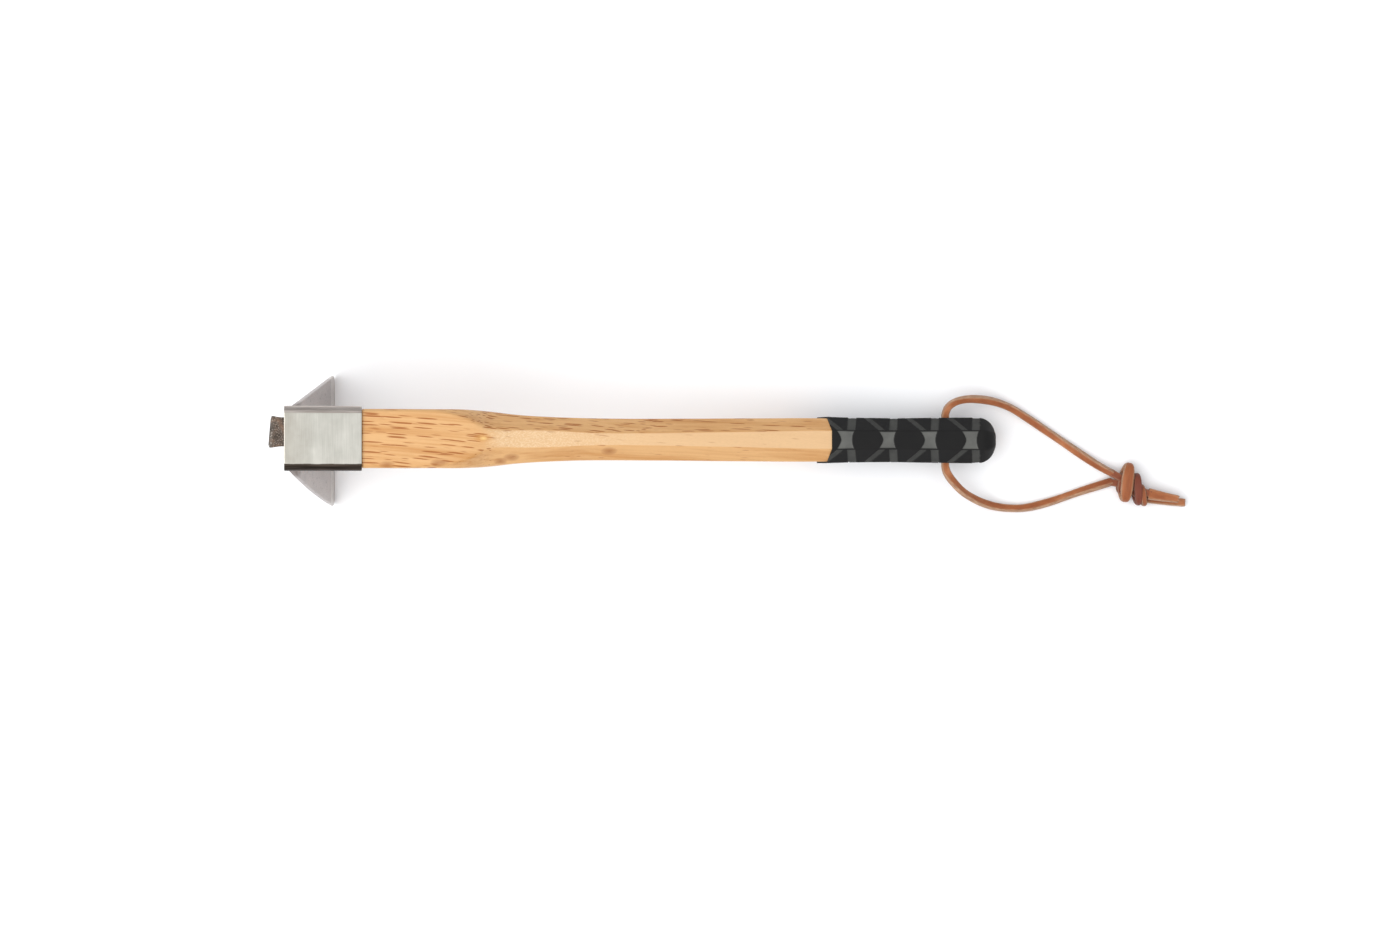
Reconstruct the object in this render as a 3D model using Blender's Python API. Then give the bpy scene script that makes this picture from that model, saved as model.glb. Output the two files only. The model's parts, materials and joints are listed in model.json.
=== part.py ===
"""Rock hammer with a welded fan blade, an octagonal wooden handle and a leather wrist lanyard.

One named object per physical piece, in metres with +Z up. The tool lies the way it rests on a
table: the blade's cutting edge and the butt of the grip touch the ground, the head points to -X
and the lanyard lies beyond the butt. The origin is the bottom centre of the tool's bounding box.
"""
import math

import bmesh
import bpy
from mathutils import Vector

MM = 0.001
GAP = 0.3 * MM                 # clearance kept between touching pieces

# The tool's own frame: X runs along the handle from the collar's mouth to the butt,
# Y is across the blade, Z points away from the blade.

# Collar: a piece of rectangular steel tube
COLLAR_LENGTH = 38.65 * MM
COLLAR_HALF_WIDTH = 16.5 * MM
COLLAR_HALF_DEPTH = 20.0 * MM
COLLAR_RADIUS = 4.0 * MM
WALL = 1.5 * MM

# Blade: a flat plate that spreads from the collar's width to the cutting edge
BLADE_NECK_X = 1.6 * MM        # where the plate's outer face meets the collar
BLADE_EDGE_X = 25.6 * MM
BLADE_EDGE_DEPTH = 82.1 * MM   # cutting edge below the handle's axis
BLADE_WIDTH = 72.2 * MM
BLADE_THICKNESS = 2.5 * MM
EDGE_THICKNESS = 0.35 * MM
BEVEL_LENGTH = 12.0 * MM
TIP_RADIUS = 4.2 * MM
TIP_STEPS = 8

# Handle: (x, half width, half depth, corner cut) from the shoulder to the butt, in mm
HANDLE_STATIONS = [
    (38.95, 15.1, 18.6, 1.6),
    (76.0, 15.1, 18.6, 1.6),
    (91.0, 15.1, 18.4, 4.6),
    (104.0, 14.4, 17.5, 9.5),
    (119.0, 12.6, 15.8, 8.0),
    (136.0, 11.6, 14.5, 7.3),
    (158.0, 11.0, 13.6, 7.7),
    (187.0, 11.0, 13.4, 7.7),
    (240.0, 11.4, 13.5, 7.2),
    (279.0, 11.7, 13.6, 6.8),
    (300.0, 11.2, 13.5, 6.6),
    (325.0, 11.0, 13.4, 6.5),
    (350.0, 11.4, 13.5, 6.7),
    (370.0, 11.6, 13.6, 6.8),
]
DOME_START = 370.0 * MM
DOME_LENGTH = 10.0 * MM
DOME_ROUNDING = 0.89           # 1 would close the dome to a point
DOME_ANGLES = (0, 15, 30, 45, 60, 75, 90)
TENON_START = 0.3 * MM
TENON_CUT = 1.6 * MM
# Spacing of the handle's rings, (up to x, step): close where the facets start
HANDLE_STEPS = [(76.0 * MM, 37.0 * MM), (160.0 * MM, 3.5 * MM), (DOME_START, 15.0 * MM)]

# Wedges
WOOD_WEDGE_DEPTH = 33.0 * MM
WOOD_WEDGE_HALF_THICK = 2.4 * MM
WOOD_WEDGE_HALF_THIN = 0.5 * MM
KERF_OVER_SIDES = 20           # how far the kerf runs out of the wood, in clearances
KERF_OVER_END = 10
# Steel wedge: (x, half width, half thickness) from the hammered end inwards, in mm
STEEL_WEDGE_STATIONS = [(-7.5, 8.2, 2.9), (-5.9, 8.0, 3.2), (0.0, 7.4, 2.6), (22.0, 7.2, 0.6)]
HAMMERED_STATIONS = 2          # how many of them are slanted
STEEL_WEDGE_OFFSET = 3.5 * MM  # off the handle's middle, across
STEEL_WEDGE_SKEW = 0.08        # slant of its hammered end, shorter on the +Y side

# Weld beads between collar and blade
FRONT_BEAD_LEG = 1.4 * MM
REAR_BEAD_LEG = 3.2 * MM
BEAD_HALF_LENGTH = 14.5 * MM
BEAD_STEP = 2.9 * MM
BEAD_SEAT = 0.21 * MM          # clearance to the collar and to the plate
BEAD_BULGE = 0.1
BEAD_END_SIZE = 0.7

# Rubber sleeve over the grip
SLEEVE_START = 286.4 * MM
SLEEVE_WALL = 0.6 * MM
SLEEVE_STEP = 14.0 * MM
SLEEVE_DOME_ANGLES = (0, 15, 30, 45, 58)
TOUCHING_ANGLES = (0, 15, 30, 45, 60)   # places on the dome that may touch the ground
SLEEVE_DOME_END = 0.93         # how far over the dome it curls, of DOME_LENGTH

# Lanyard: a leather lace through a cross hole, its two ends in one knot
HOLE_X = 354.0 * MM
HOLE_RADIUS = 3.0 * MM
DRILL_LENGTH = 60.0 * MM
DRILL_SEGMENTS = 24
LACE_RADIUS = 2.4 * MM
LACE_SPACING = 5.0 * MM        # between the points of a tube
LACE_RUN_OUT = 0.8 * MM        # straight end outside the hole
STRAND_START_Y = 13.3 * MM
BIGHT_STEP = 9.0 * MM
CURVE_SAMPLES = 16             # on each stretch of a route before it is evenly divided
# Routes on the ground, (x, y, z) in mm from the origin; each starts at the cross hole
UPPER_ROUTE = [(165.6, 17.6, 17.2), (168.6, 20.3, 16.3), (173.6, 22.2, 14.7), (181.5, 22.9, 11.4),
               (192.1, 21.7, 7.2), (201.9, 18.4, 4.4), (211.9, 12.5, 2.9), (221.9, 5.8, 2.6),
               (231.7, -0.8, 2.6), (241.6, -7.6, 2.8), (250.9, -13.8, 4.0), (259.0, -18.4, 6.1)]
LOWER_ROUTE = [(165.3, -17.5, 17.2), (168.4, -22.0, 15.9), (174.8, -28.2, 12.6), (183.2, -33.0, 8.4),
               (192.2, -36.1, 5.0), (201.4, -37.4, 3.1), (211.4, -37.1, 2.6),
               (224.4, -33.9, 2.6), (241.4, -28.1, 2.6), (258.8, -22.6, 2.6)]
SHORT_TAIL_ROUTE = [(278.1, -29.4, 7.6), (286.2, -31.0, 7.5), (294.6, -32.4, 7.5)]
LONG_TAIL_ROUTE = [(278.1, -32.2, 2.6), (288.5, -33.4, 2.6), (299.2, -34.4, 2.6)]
# Knot: (x, middle y, half width in y, half height), mm, wraps and the grooves between them
KNOT_STATIONS = [
    (261.1, -21.1, 6.4, 4.4),
    (262.5, -22.1, 9.6, 5.3),
    (265.5, -22.9, 10.9, 5.6),
    (268.3, -24.0, 9.8, 5.4),
    (269.0, -25.0, 8.4, 4.8),
    (269.9, -26.2, 8.7, 5.2),
    (271.9, -27.1, 8.8, 5.5),
    (273.5, -28.2, 7.2, 5.0),
    (275.0, -29.7, 6.2, 5.1),
    (276.7, -30.5, 4.6, 4.6),
]
KNOT_SEGMENTS = 20
KNOT_HEIGHT = 5.65 * MM        # its middle above the ground


# ---------------------------------------------------------------- helpers

def clear_scene():
    for obj in list(bpy.data.objects):
        bpy.data.objects.remove(obj, do_unlink=True)


def make_material(name, colour, roughness, metallic=0.0):
    material = bpy.data.materials.new(name)
    material.use_nodes = True
    shader = material.node_tree.nodes["Principled BSDF"]
    shader.inputs["Base Color"].default_value = (*colour, 1.0)
    shader.inputs["Roughness"].default_value = roughness
    shader.inputs["Metallic"].default_value = metallic
    material.diffuse_color = (*colour, 1.0)
    return material


def make_empty(name, location=(0.0, 0.0, 0.0), tilt=0.0):
    empty = bpy.data.objects.new(name, None)
    empty.location = location
    empty.rotation_euler = (0.0, tilt, 0.0)
    bpy.context.collection.objects.link(empty)
    return empty


def loft(name, rings, material, parent, endless=False):
    """Skin a row of rings with equal point counts; an endless row closes on its first ring."""
    mesh = bmesh.new()
    rows = [[mesh.verts.new(point) for point in ring] for ring in rings]
    pairs = list(zip(rows, rows[1:]))
    if endless:
        pairs.append((rows[-1], rows[0]))
    else:
        mesh.faces.new(rows[0])
        mesh.faces.new(rows[-1])
    count = len(rows[0])
    for first, second in pairs:
        for i in range(count):
            j = (i + 1) % count
            mesh.faces.new((first[i], first[j], second[j], second[i]))
    bmesh.ops.recalc_face_normals(mesh, faces=mesh.faces)
    data = bpy.data.meshes.new(name)
    mesh.to_mesh(data)
    mesh.free()
    data.materials.append(material)
    obj = bpy.data.objects.new(name, data)
    bpy.context.collection.objects.link(obj)
    obj.parent = parent
    return obj


def cut(obj, cutter):
    """Subtract a helper from an object and hide the helper."""
    boolean = obj.modifiers.new(cutter.name, "BOOLEAN")
    boolean.operation = "DIFFERENCE"
    boolean.object = cutter
    cutter.hide_render = True
    cutter.display_type = "WIRE"


def smooth_round(obj, angle=math.radians(35)):
    obj.data.shade_smooth()
    obj.data.set_sharp_from_angle(angle=angle)


def curve_through(points, spacing):
    """Evenly spaced points on a smooth curve through the given ones."""
    ends = [2 * points[0] - points[1]] + points + [2 * points[-1] - points[-2]]
    dense = []
    for p0, p1, p2, p3 in zip(ends, ends[1:], ends[2:], ends[3:]):
        for step in range(CURVE_SAMPLES):
            t = step / CURVE_SAMPLES
            dense.append(0.5 * (2 * p1 + (p2 - p0) * t + (2 * p0 - 5 * p1 + 4 * p2 - p3) * t ** 2
                                + (3 * p1 - p0 - 3 * p2 + p3) * t ** 3))
    dense.append(points[-1])
    lengths = [0.0]
    for a, b in zip(dense, dense[1:]):
        lengths.append(lengths[-1] + (b - a).length)
    count = max(2, round(lengths[-1] / spacing))
    result = []
    for k in range(count + 1):
        target = lengths[-1] * k / count
        i = max(j for j, s in enumerate(lengths[:-1]) if s <= target)
        part = (target - lengths[i]) / (lengths[i + 1] - lengths[i])
        result.append(dense[i].lerp(dense[i + 1], part))
    return result


def tube(name, points, radius, material, parent):
    """A lace's plain body: a round tube along points given in the parent's frame."""
    curve = bpy.data.curves.new(name, "CURVE")
    curve.dimensions = "3D"
    curve.bevel_depth = radius
    curve.bevel_resolution = 2
    curve.use_fill_caps = True
    spline = curve.splines.new("POLY")
    spline.points.add(len(points) - 1)
    for target, point in zip(spline.points, points):
        target.co = (*point, 1.0)
    curve.materials.append(material)
    obj = bpy.data.objects.new(name, curve)
    bpy.context.collection.objects.link(obj)
    obj.parent = parent
    return obj


# ---------------------------------------------------------------- sections

def octagon(x, half_width, half_depth, corner):
    """A rectangle with its four corners cut off, square to the handle's axis."""
    w, d = half_width, half_depth
    outline = [(w, d - corner), (w - corner, d), (corner - w, d), (-w, d - corner),
               (-w, corner - d), (corner - w, -d), (w - corner, -d), (w, corner - d)]
    return [Vector((x, y, z)) for y, z in outline]


def rounded_rectangle(x, half_width, half_depth, radius, steps=6):
    ring = []
    for quarter in range(4):
        side_y = 1 if quarter in (0, 3) else -1
        side_z = 1 if quarter in (0, 1) else -1
        for k in range(steps + 1):
            angle = math.radians(90 * (quarter + k / steps))
            y = side_y * (half_width - radius) + radius * math.cos(angle)
            z = side_z * (half_depth - radius) + radius * math.sin(angle)
            ring.append(Vector((x, y, z)))
    return ring


def handle_section(x):
    """Half width, half depth and corner cut of the wood at x, smooth between the stations."""
    rows = [[value * MM for value in row] for row in HANDLE_STATIONS]
    i = max(k for k in range(len(rows) - 1) if rows[k][0] <= x or k == 0)
    before, start, end, after = (rows[max(i - 1, 0)], rows[i], rows[i + 1],
                                 rows[min(i + 2, len(rows) - 1)])
    span = end[0] - start[0]
    t = min((x - start[0]) / span, 1.0)
    values = []
    for column in (1, 2, 3):
        slope_in = (end[column] - before[column]) / (end[0] - before[0]) * span
        slope_out = (after[column] - start[column]) / (after[0] - start[0]) * span
        values.append((2 * t ** 3 - 3 * t ** 2 + 1) * start[column]
                      + (t ** 3 - 2 * t ** 2 + t) * slope_in
                      + (3 * t ** 2 - 2 * t ** 3) * end[column]
                      + (t ** 3 - t ** 2) * slope_out)
    return values


def grip_ring(x, offset=0.0):
    """The handle's outline grown by an offset, all corners kept at one distance."""
    width, depth, corner = handle_section(x)
    return octagon(x, width + offset, depth + offset, corner + offset * (2 - math.sqrt(2)))


def dome_ring(part, offset=0.0):
    """A ring of the domed butt; part runs from 0 at its foot to 1 at the flat end."""
    width, depth, corner = handle_section(DOME_START)
    shrink = math.sqrt(1 - (DOME_ROUNDING * part) ** 2)
    x = DOME_START + DOME_LENGTH * part + offset * part
    return octagon(x, width * shrink + offset, depth * shrink + offset,
                   corner * shrink + offset * (2 - math.sqrt(2)))


def steps_between(start, end, step):
    count = max(1, round((end - start) / step))
    return [start + (end - start) * k / count for k in range(count + 1)]


# ---------------------------------------------------------------- head

def make_collar(material, parent):
    inner = (COLLAR_HALF_WIDTH - WALL, COLLAR_HALF_DEPTH - WALL, COLLAR_RADIUS - WALL)
    outer = (COLLAR_HALF_WIDTH, COLLAR_HALF_DEPTH, COLLAR_RADIUS)
    rings = [rounded_rectangle(x, *size) for x, size in
             ((0.0, outer), (COLLAR_LENGTH, outer), (COLLAR_LENGTH, inner), (0.0, inner))]
    obj = loft("collar", rings, material, parent, endless=True)
    smooth_round(obj)


def blade_frame():
    """Top of the plate's outer face, the direction down the plate and its inner normal."""
    top = Vector((BLADE_NECK_X, 0.0, -COLLAR_HALF_DEPTH - GAP))
    down = (Vector((BLADE_EDGE_X, 0.0, -BLADE_EDGE_DEPTH)) - top)
    length = down.length
    down.normalize()
    inward = Vector((-down.z, 0.0, down.x))
    return top, down, inward, length


def make_blade(material, parent):
    """Rings across the plate, one under the other, with rounded tips and a ground bevel."""
    top, down, inward, length = blade_frame()
    neck = COLLAR_HALF_WIDTH
    centre_u, centre_y = length - TIP_RADIUS, BLADE_WIDTH / 2 - TIP_RADIUS
    reach = math.hypot(centre_u, centre_y - neck)
    spread = math.atan2(centre_y - neck, centre_u) + math.asin(TIP_RADIUS / reach)
    outline = [(0.0, neck)]
    for k in range(TIP_STEPS + 1):
        angle = (math.pi / 2 + spread) * (1 - k / TIP_STEPS)
        outline.append((centre_u + TIP_RADIUS * math.cos(angle),
                        centre_y + TIP_RADIUS * math.sin(angle)))
    bevel_start = length - BEVEL_LENGTH
    bevel_row = (bevel_start, neck + math.tan(spread) * bevel_start)
    outline = sorted(outline + [bevel_row])
    rings = []
    for u, half in outline:
        bevel = max(0.0, (u - bevel_start) / BEVEL_LENGTH)
        thickness = BLADE_THICKNESS + (EDGE_THICKNESS - BLADE_THICKNESS) * bevel
        front = top + down * u
        level = BLADE_THICKNESS * inward.z / -down.z if u == 0.0 else 0.0
        rear = front + inward * thickness + down * level
        rings.append([front + Vector((0, half, 0)), front - Vector((0, half, 0)),
                      rear - Vector((0, half, 0)), rear + Vector((0, half, 0))])
    loft("blade", rings, material, parent)


def make_weld_bead(name, corner, along, leg, material, parent):
    """A fillet in the corner between the collar's underside and one face of the plate."""
    down = blade_frame()[1]
    corner = corner + Vector((along, 0.0, -1.0)) * BEAD_SEAT
    foot = corner + Vector((along * leg, 0.0, 0.0))
    low = corner + down * leg
    middle = (foot + low) / 2 + (foot + low - 2 * corner) * BEAD_BULGE
    rings = []
    for y in steps_between(-BEAD_HALF_LENGTH, BEAD_HALF_LENGTH, BEAD_STEP):
        size = BEAD_END_SIZE if abs(y) > BEAD_HALF_LENGTH - MM else 1.0
        points = [corner, foot, middle, low]
        rings.append([corner.lerp(p, size) + Vector((0.0, y, 0.0)) for p in points])
    obj = loft(name, rings, material, parent)
    smooth_round(obj, math.radians(50))


def wood_wedge_rings(grow):
    """The wedge along the tenon's middle; a grown copy of it is its kerf."""
    rings = []
    half = COLLAR_HALF_DEPTH - WALL - GAP + grow * KERF_OVER_SIDES
    start = TENON_START - grow * KERF_OVER_END
    slope = (WOOD_WEDGE_HALF_THICK - WOOD_WEDGE_HALF_THIN) / WOOD_WEDGE_DEPTH
    for x in (start, TENON_START + WOOD_WEDGE_DEPTH + grow):
        thick = WOOD_WEDGE_HALF_THICK - slope * (x - TENON_START) + grow
        rings.append([Vector((x, y, z)) for y, z in
                      ((thick, half), (-thick, half), (-thick, -half), (thick, -half))])
    return rings


def steel_wedge_rings(grow):
    """Hammered outer end, waist at the collar and thin inner end, at the wedge's offset."""
    rings = []
    last = len(STEEL_WEDGE_STATIONS) - 1
    for index, (x, width, thick) in enumerate(STEEL_WEDGE_STATIONS):
        w, t = width * MM + grow, thick * MM + grow
        skew = STEEL_WEDGE_SKEW if index < HAMMERED_STATIONS else 0.0
        end = x * MM + (grow if index == last else 0.0)
        rings.append([Vector((end + skew * y, y + STEEL_WEDGE_OFFSET, z)) for y, z in
                      ((w, t), (-w, t), (-w, -t), (w, -t))])
    return rings


# ---------------------------------------------------------------- handle and grip

def make_handle(material, parent, cutters):
    inner_width = COLLAR_HALF_WIDTH - WALL - GAP
    inner_depth = COLLAR_HALF_DEPTH - WALL - GAP
    shoulder = HANDLE_STATIONS[0][0] * MM
    rings = [octagon(x, inner_width, inner_depth, TENON_CUT) for x in (TENON_START, shoulder)]
    start = shoulder
    for end, step in HANDLE_STEPS:
        rings += [grip_ring(x) for x in steps_between(start, end, step)[:-1]]
        start = end
    rings += [dome_ring(math.sin(math.radians(angle))) for angle in DOME_ANGLES]
    handle = loft("handle", rings, material, parent)
    for cutter in cutters:
        cut(handle, cutter)


def make_sleeve(material, parent, hole):
    xs = steps_between(SLEEVE_START, DOME_START, SLEEVE_STEP)[:-1]
    parts = [math.sin(math.radians(angle)) for angle in SLEEVE_DOME_ANGLES] + [SLEEVE_DOME_END]
    outer = GAP + SLEEVE_WALL
    rings = [grip_ring(x, outer) for x in xs] + [dome_ring(part, outer) for part in parts]
    rings += [dome_ring(part, GAP) for part in reversed(parts)]
    rings += [grip_ring(x, GAP) for x in reversed(xs)]
    sleeve = loft("grip_sleeve", rings, material, parent, endless=True)
    cut(sleeve, hole)


def make_cylinder_helper(name, location, radius, length, parent):
    """A round bar along Y, used to drill the cross hole."""
    rings = []
    for y in (-length / 2, length / 2):
        rings.append([location + Vector((radius * math.cos(a), y, radius * math.sin(a)))
                      for a in (math.tau * k / DRILL_SEGMENTS for k in range(DRILL_SEGMENTS))])
    return loft(name, rings, make_material("helper", (0.5, 0.5, 0.5), 1.0), parent)


def rest_tilt():
    """Angle of the handle when the cutting edge and the sleeve's butt both touch the ground."""
    points = [dome_ring(math.sin(math.radians(angle)), GAP + SLEEVE_WALL)[5]
              for angle in TOUCHING_ANGLES]
    return min(math.atan2(BLADE_EDGE_DEPTH + p.z, p.x - BLADE_EDGE_X) for p in points)


def settle(root):
    """Move the tool so that its bounding box stands on the origin."""
    bpy.context.view_layer.update()
    corners = []
    for obj in root.children:
        if obj.type == "MESH" and not obj.hide_render:
            corners += [obj.matrix_world @ vertex.co for vertex in obj.data.vertices]
    low = Vector([min(c[axis] for c in corners) for axis in range(3)])
    high = Vector([max(c[axis] for c in corners) for axis in range(3)])
    root.location -= Vector(((low.x + high.x) / 2, (low.y + high.y) / 2, low.z))
    bpy.context.view_layer.update()


# ---------------------------------------------------------------- lanyard

def make_lace(name, route, material, pivot, start=None):
    """A tube along a route; one that starts at the hole leaves it square to the grip."""
    points = [Vector(point) * MM - pivot.location for point in route]
    if start is None:
        return tube(name, curve_through(points, LACE_SPACING), LACE_RADIUS, material, pivot)
    square_to_grip = start + Vector((0.0, math.copysign(LACE_RUN_OUT, start.y), 0.0))
    path = [start] + curve_through([square_to_grip] + points, LACE_SPACING)
    return tube(name, path, LACE_RADIUS, material, pivot)


def make_knot(material, pivot):
    rings = []
    for x, y, half_width, half_height in KNOT_STATIONS:
        centre = Vector((x * MM, y * MM, KNOT_HEIGHT)) - pivot.location
        rings.append([centre + Vector((0.0, half_width * MM * math.cos(a),
                                       half_height * MM * math.sin(a)))
                      for a in (math.tau * k / KNOT_SEGMENTS for k in range(KNOT_SEGMENTS))])
    obj = loft("lanyard_knot", rings, material, pivot)
    smooth_round(obj, math.radians(60))


def make_lanyard(material, pivot):
    half_hole = STRAND_START_Y - GAP
    bight = [Vector((0.0, y, 0.0)) for y in steps_between(-half_hole, half_hole, BIGHT_STEP)]
    tube("lanyard_bight", bight, LACE_RADIUS, material, pivot)
    make_lace("lanyard_strand_upper", UPPER_ROUTE, material, pivot, Vector((0.0, STRAND_START_Y, 0.0)))
    make_lace("lanyard_strand_lower", LOWER_ROUTE, material, pivot, Vector((0.0, -STRAND_START_Y, 0.0)))
    make_knot(material, pivot)
    make_lace("lanyard_tail_short", SHORT_TAIL_ROUTE, material, pivot)
    make_lace("lanyard_tail_long", LONG_TAIL_ROUTE, material, pivot)


# ---------------------------------------------------------------- assembly

def main():
    clear_scene()
    steel = make_material("brushed stainless steel", (0.62, 0.61, 0.57), 0.35, 1.0)
    plate = make_material("ground steel plate", (0.42, 0.40, 0.39), 0.4, 1.0)
    weld = make_material("weld metal", (0.30, 0.28, 0.26), 0.5, 1.0)
    dark_steel = make_material("forged dark steel", (0.16, 0.13, 0.11), 0.6, 0.8)
    beech = make_material("varnished beech", (0.72, 0.45, 0.22), 0.4)
    wedge_wood = make_material("wedge hardwood", (0.55, 0.36, 0.2), 0.6)
    rubber = make_material("black rubber", (0.02, 0.02, 0.02), 0.7)
    leather = make_material("brown leather", (0.42, 0.2, 0.11), 0.6)

    root = make_empty("hammer_root", tilt=rest_tilt())
    make_collar(steel, root)
    make_blade(plate, root)
    top, down, inward, _ = blade_frame()
    underside = Vector((0.0, 0.0, GAP))
    rear_top = top + underside + Vector((BLADE_THICKNESS / -down.z, 0.0, 0.0))
    make_weld_bead("weld_bead_front", top + underside, -1, FRONT_BEAD_LEG, weld, root)
    make_weld_bead("weld_bead_rear", rear_top, 1, REAR_BEAD_LEG, weld, root)

    hole = make_cylinder_helper("cross_hole_cutter", Vector((HOLE_X, 0.0, 0.0)),
                                HOLE_RADIUS, DRILL_LENGTH, root)
    kerf = loft("kerf_cutter", wood_wedge_rings(GAP), wedge_wood, root)
    slot = loft("steel_slot_cutter", steel_wedge_rings(GAP), dark_steel, root)
    make_handle(beech, root, (kerf, slot, hole))
    make_sleeve(rubber, root, hole)
    wood_wedge = loft("wood_wedge", wood_wedge_rings(0.0), wedge_wood, root)
    cut(wood_wedge, slot)
    loft("steel_wedge", steel_wedge_rings(0.0), dark_steel, root)

    settle(root)
    pivot = make_empty("lanyard_pivot", root.matrix_world @ Vector((HOLE_X, 0.0, 0.0)))
    make_lanyard(leather, pivot)
    bpy.context.view_layer.update()


main()
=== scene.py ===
"""Looks of a rock hammer with a fan blade, a wedged octagonal handle and a leather lanyard.

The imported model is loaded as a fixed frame. Every plain solid is then replaced by a finely
shaped piece with a procedural finish, the lace is laid along its route, and a small studio with
a pale floor, soft lights and a camera looking straight down is set up round the tool.
"""
from __future__ import annotations

import json
import logging
import math
from dataclasses import dataclass
from enum import Enum

import bmesh
import bpy
import numpy as np
from mathutils import Matrix, Vector, noise


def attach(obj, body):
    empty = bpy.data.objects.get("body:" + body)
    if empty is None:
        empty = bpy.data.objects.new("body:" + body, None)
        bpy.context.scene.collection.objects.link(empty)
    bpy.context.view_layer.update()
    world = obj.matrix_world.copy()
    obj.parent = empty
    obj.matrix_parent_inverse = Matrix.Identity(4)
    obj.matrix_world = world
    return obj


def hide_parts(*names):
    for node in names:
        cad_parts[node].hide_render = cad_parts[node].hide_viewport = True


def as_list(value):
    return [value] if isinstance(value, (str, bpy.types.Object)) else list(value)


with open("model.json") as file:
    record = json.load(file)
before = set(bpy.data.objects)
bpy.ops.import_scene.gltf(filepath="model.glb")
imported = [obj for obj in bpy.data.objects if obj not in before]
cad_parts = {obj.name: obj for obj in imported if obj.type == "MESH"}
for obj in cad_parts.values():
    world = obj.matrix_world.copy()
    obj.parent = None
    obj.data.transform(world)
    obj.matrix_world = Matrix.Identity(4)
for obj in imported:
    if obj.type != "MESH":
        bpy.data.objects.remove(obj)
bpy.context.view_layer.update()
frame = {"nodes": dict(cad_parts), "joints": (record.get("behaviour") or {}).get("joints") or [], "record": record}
MM = 0.001
CREASE = math.radians(38)          # edges sharper than this stay sharp
SIDE_SHARE = 0.46                  # largest share of a side that a rounded corner takes
CUT_GROWTH = 2 - math.sqrt(2)      # growth of an octagon's corner cuts with its offset
NOISE_SEED = 4                     # without one the noise differs from run to run
UP = Vector((0.0, 0.0, 1.0))
SHARE, UNDER, OVER, MIXED = 0, 6, 7, 2     # sockets of a Mix node that mixes colours
log = logging.getLogger("rock_hammer")


# ------------------------------------------------------------------ colours and nodes

def linear(colour: str | float) -> tuple[float, float, float, float]:
    """Turn an sRGB hex colour into the linear colour that shaders take.

    Args:
        colour: six hex digits, such as "c8a070", or a number for a plain grey share.

    Returns:
        Linear red, green and blue with an alpha of 1.
    """
    if not isinstance(colour, str):
        return (colour, colour, colour, 1.0)
    values = [int(colour[i:i + 2], 16) / 255 for i in (0, 2, 4)]
    parts = [v / 12.92 if v <= 0.04045 else ((v + 0.055) / 1.055) ** 2.4 for v in values]
    return (*parts, 1.0)


def add(tree: bpy.types.NodeTree, kind: str, inputs: dict | None = None, out: int | str = 0,
        stops: list[tuple[float, str | float]] | None = None,
        **settings: str | float | bool) -> bpy.types.NodeSocket:
    """Add one node, set its properties, and set or link its inputs.

    Args:
        tree: node tree that takes the node.
        kind: type of the node, without the ShaderNode in front.
        inputs: input name or index to a number, a vector, a hex colour or the socket that feeds it.
        out: output to give back.
        stops: position and colour of each stop, for a node with a colour ramp.
        settings: properties of the node itself.

    Returns:
        The chosen output; its node attribute leads to the others.
    """
    node = tree.nodes.new("ShaderNode" + kind)
    for name, value in settings.items():
        setattr(node, name, value)
    for index, (position, colour) in enumerate(stops or []):
        elements = node.color_ramp.elements
        element = elements[index] if index < 2 else elements.new(position)
        element.position = position
        element.color = linear(colour)
    for name, value in (inputs or {}).items():
        if isinstance(value, bpy.types.NodeSocket):
            tree.links.new(value, node.inputs[name])
        else:
            node.inputs[name].default_value = linear(value) if isinstance(value, str) else value
    return node.outputs[out]


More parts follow.
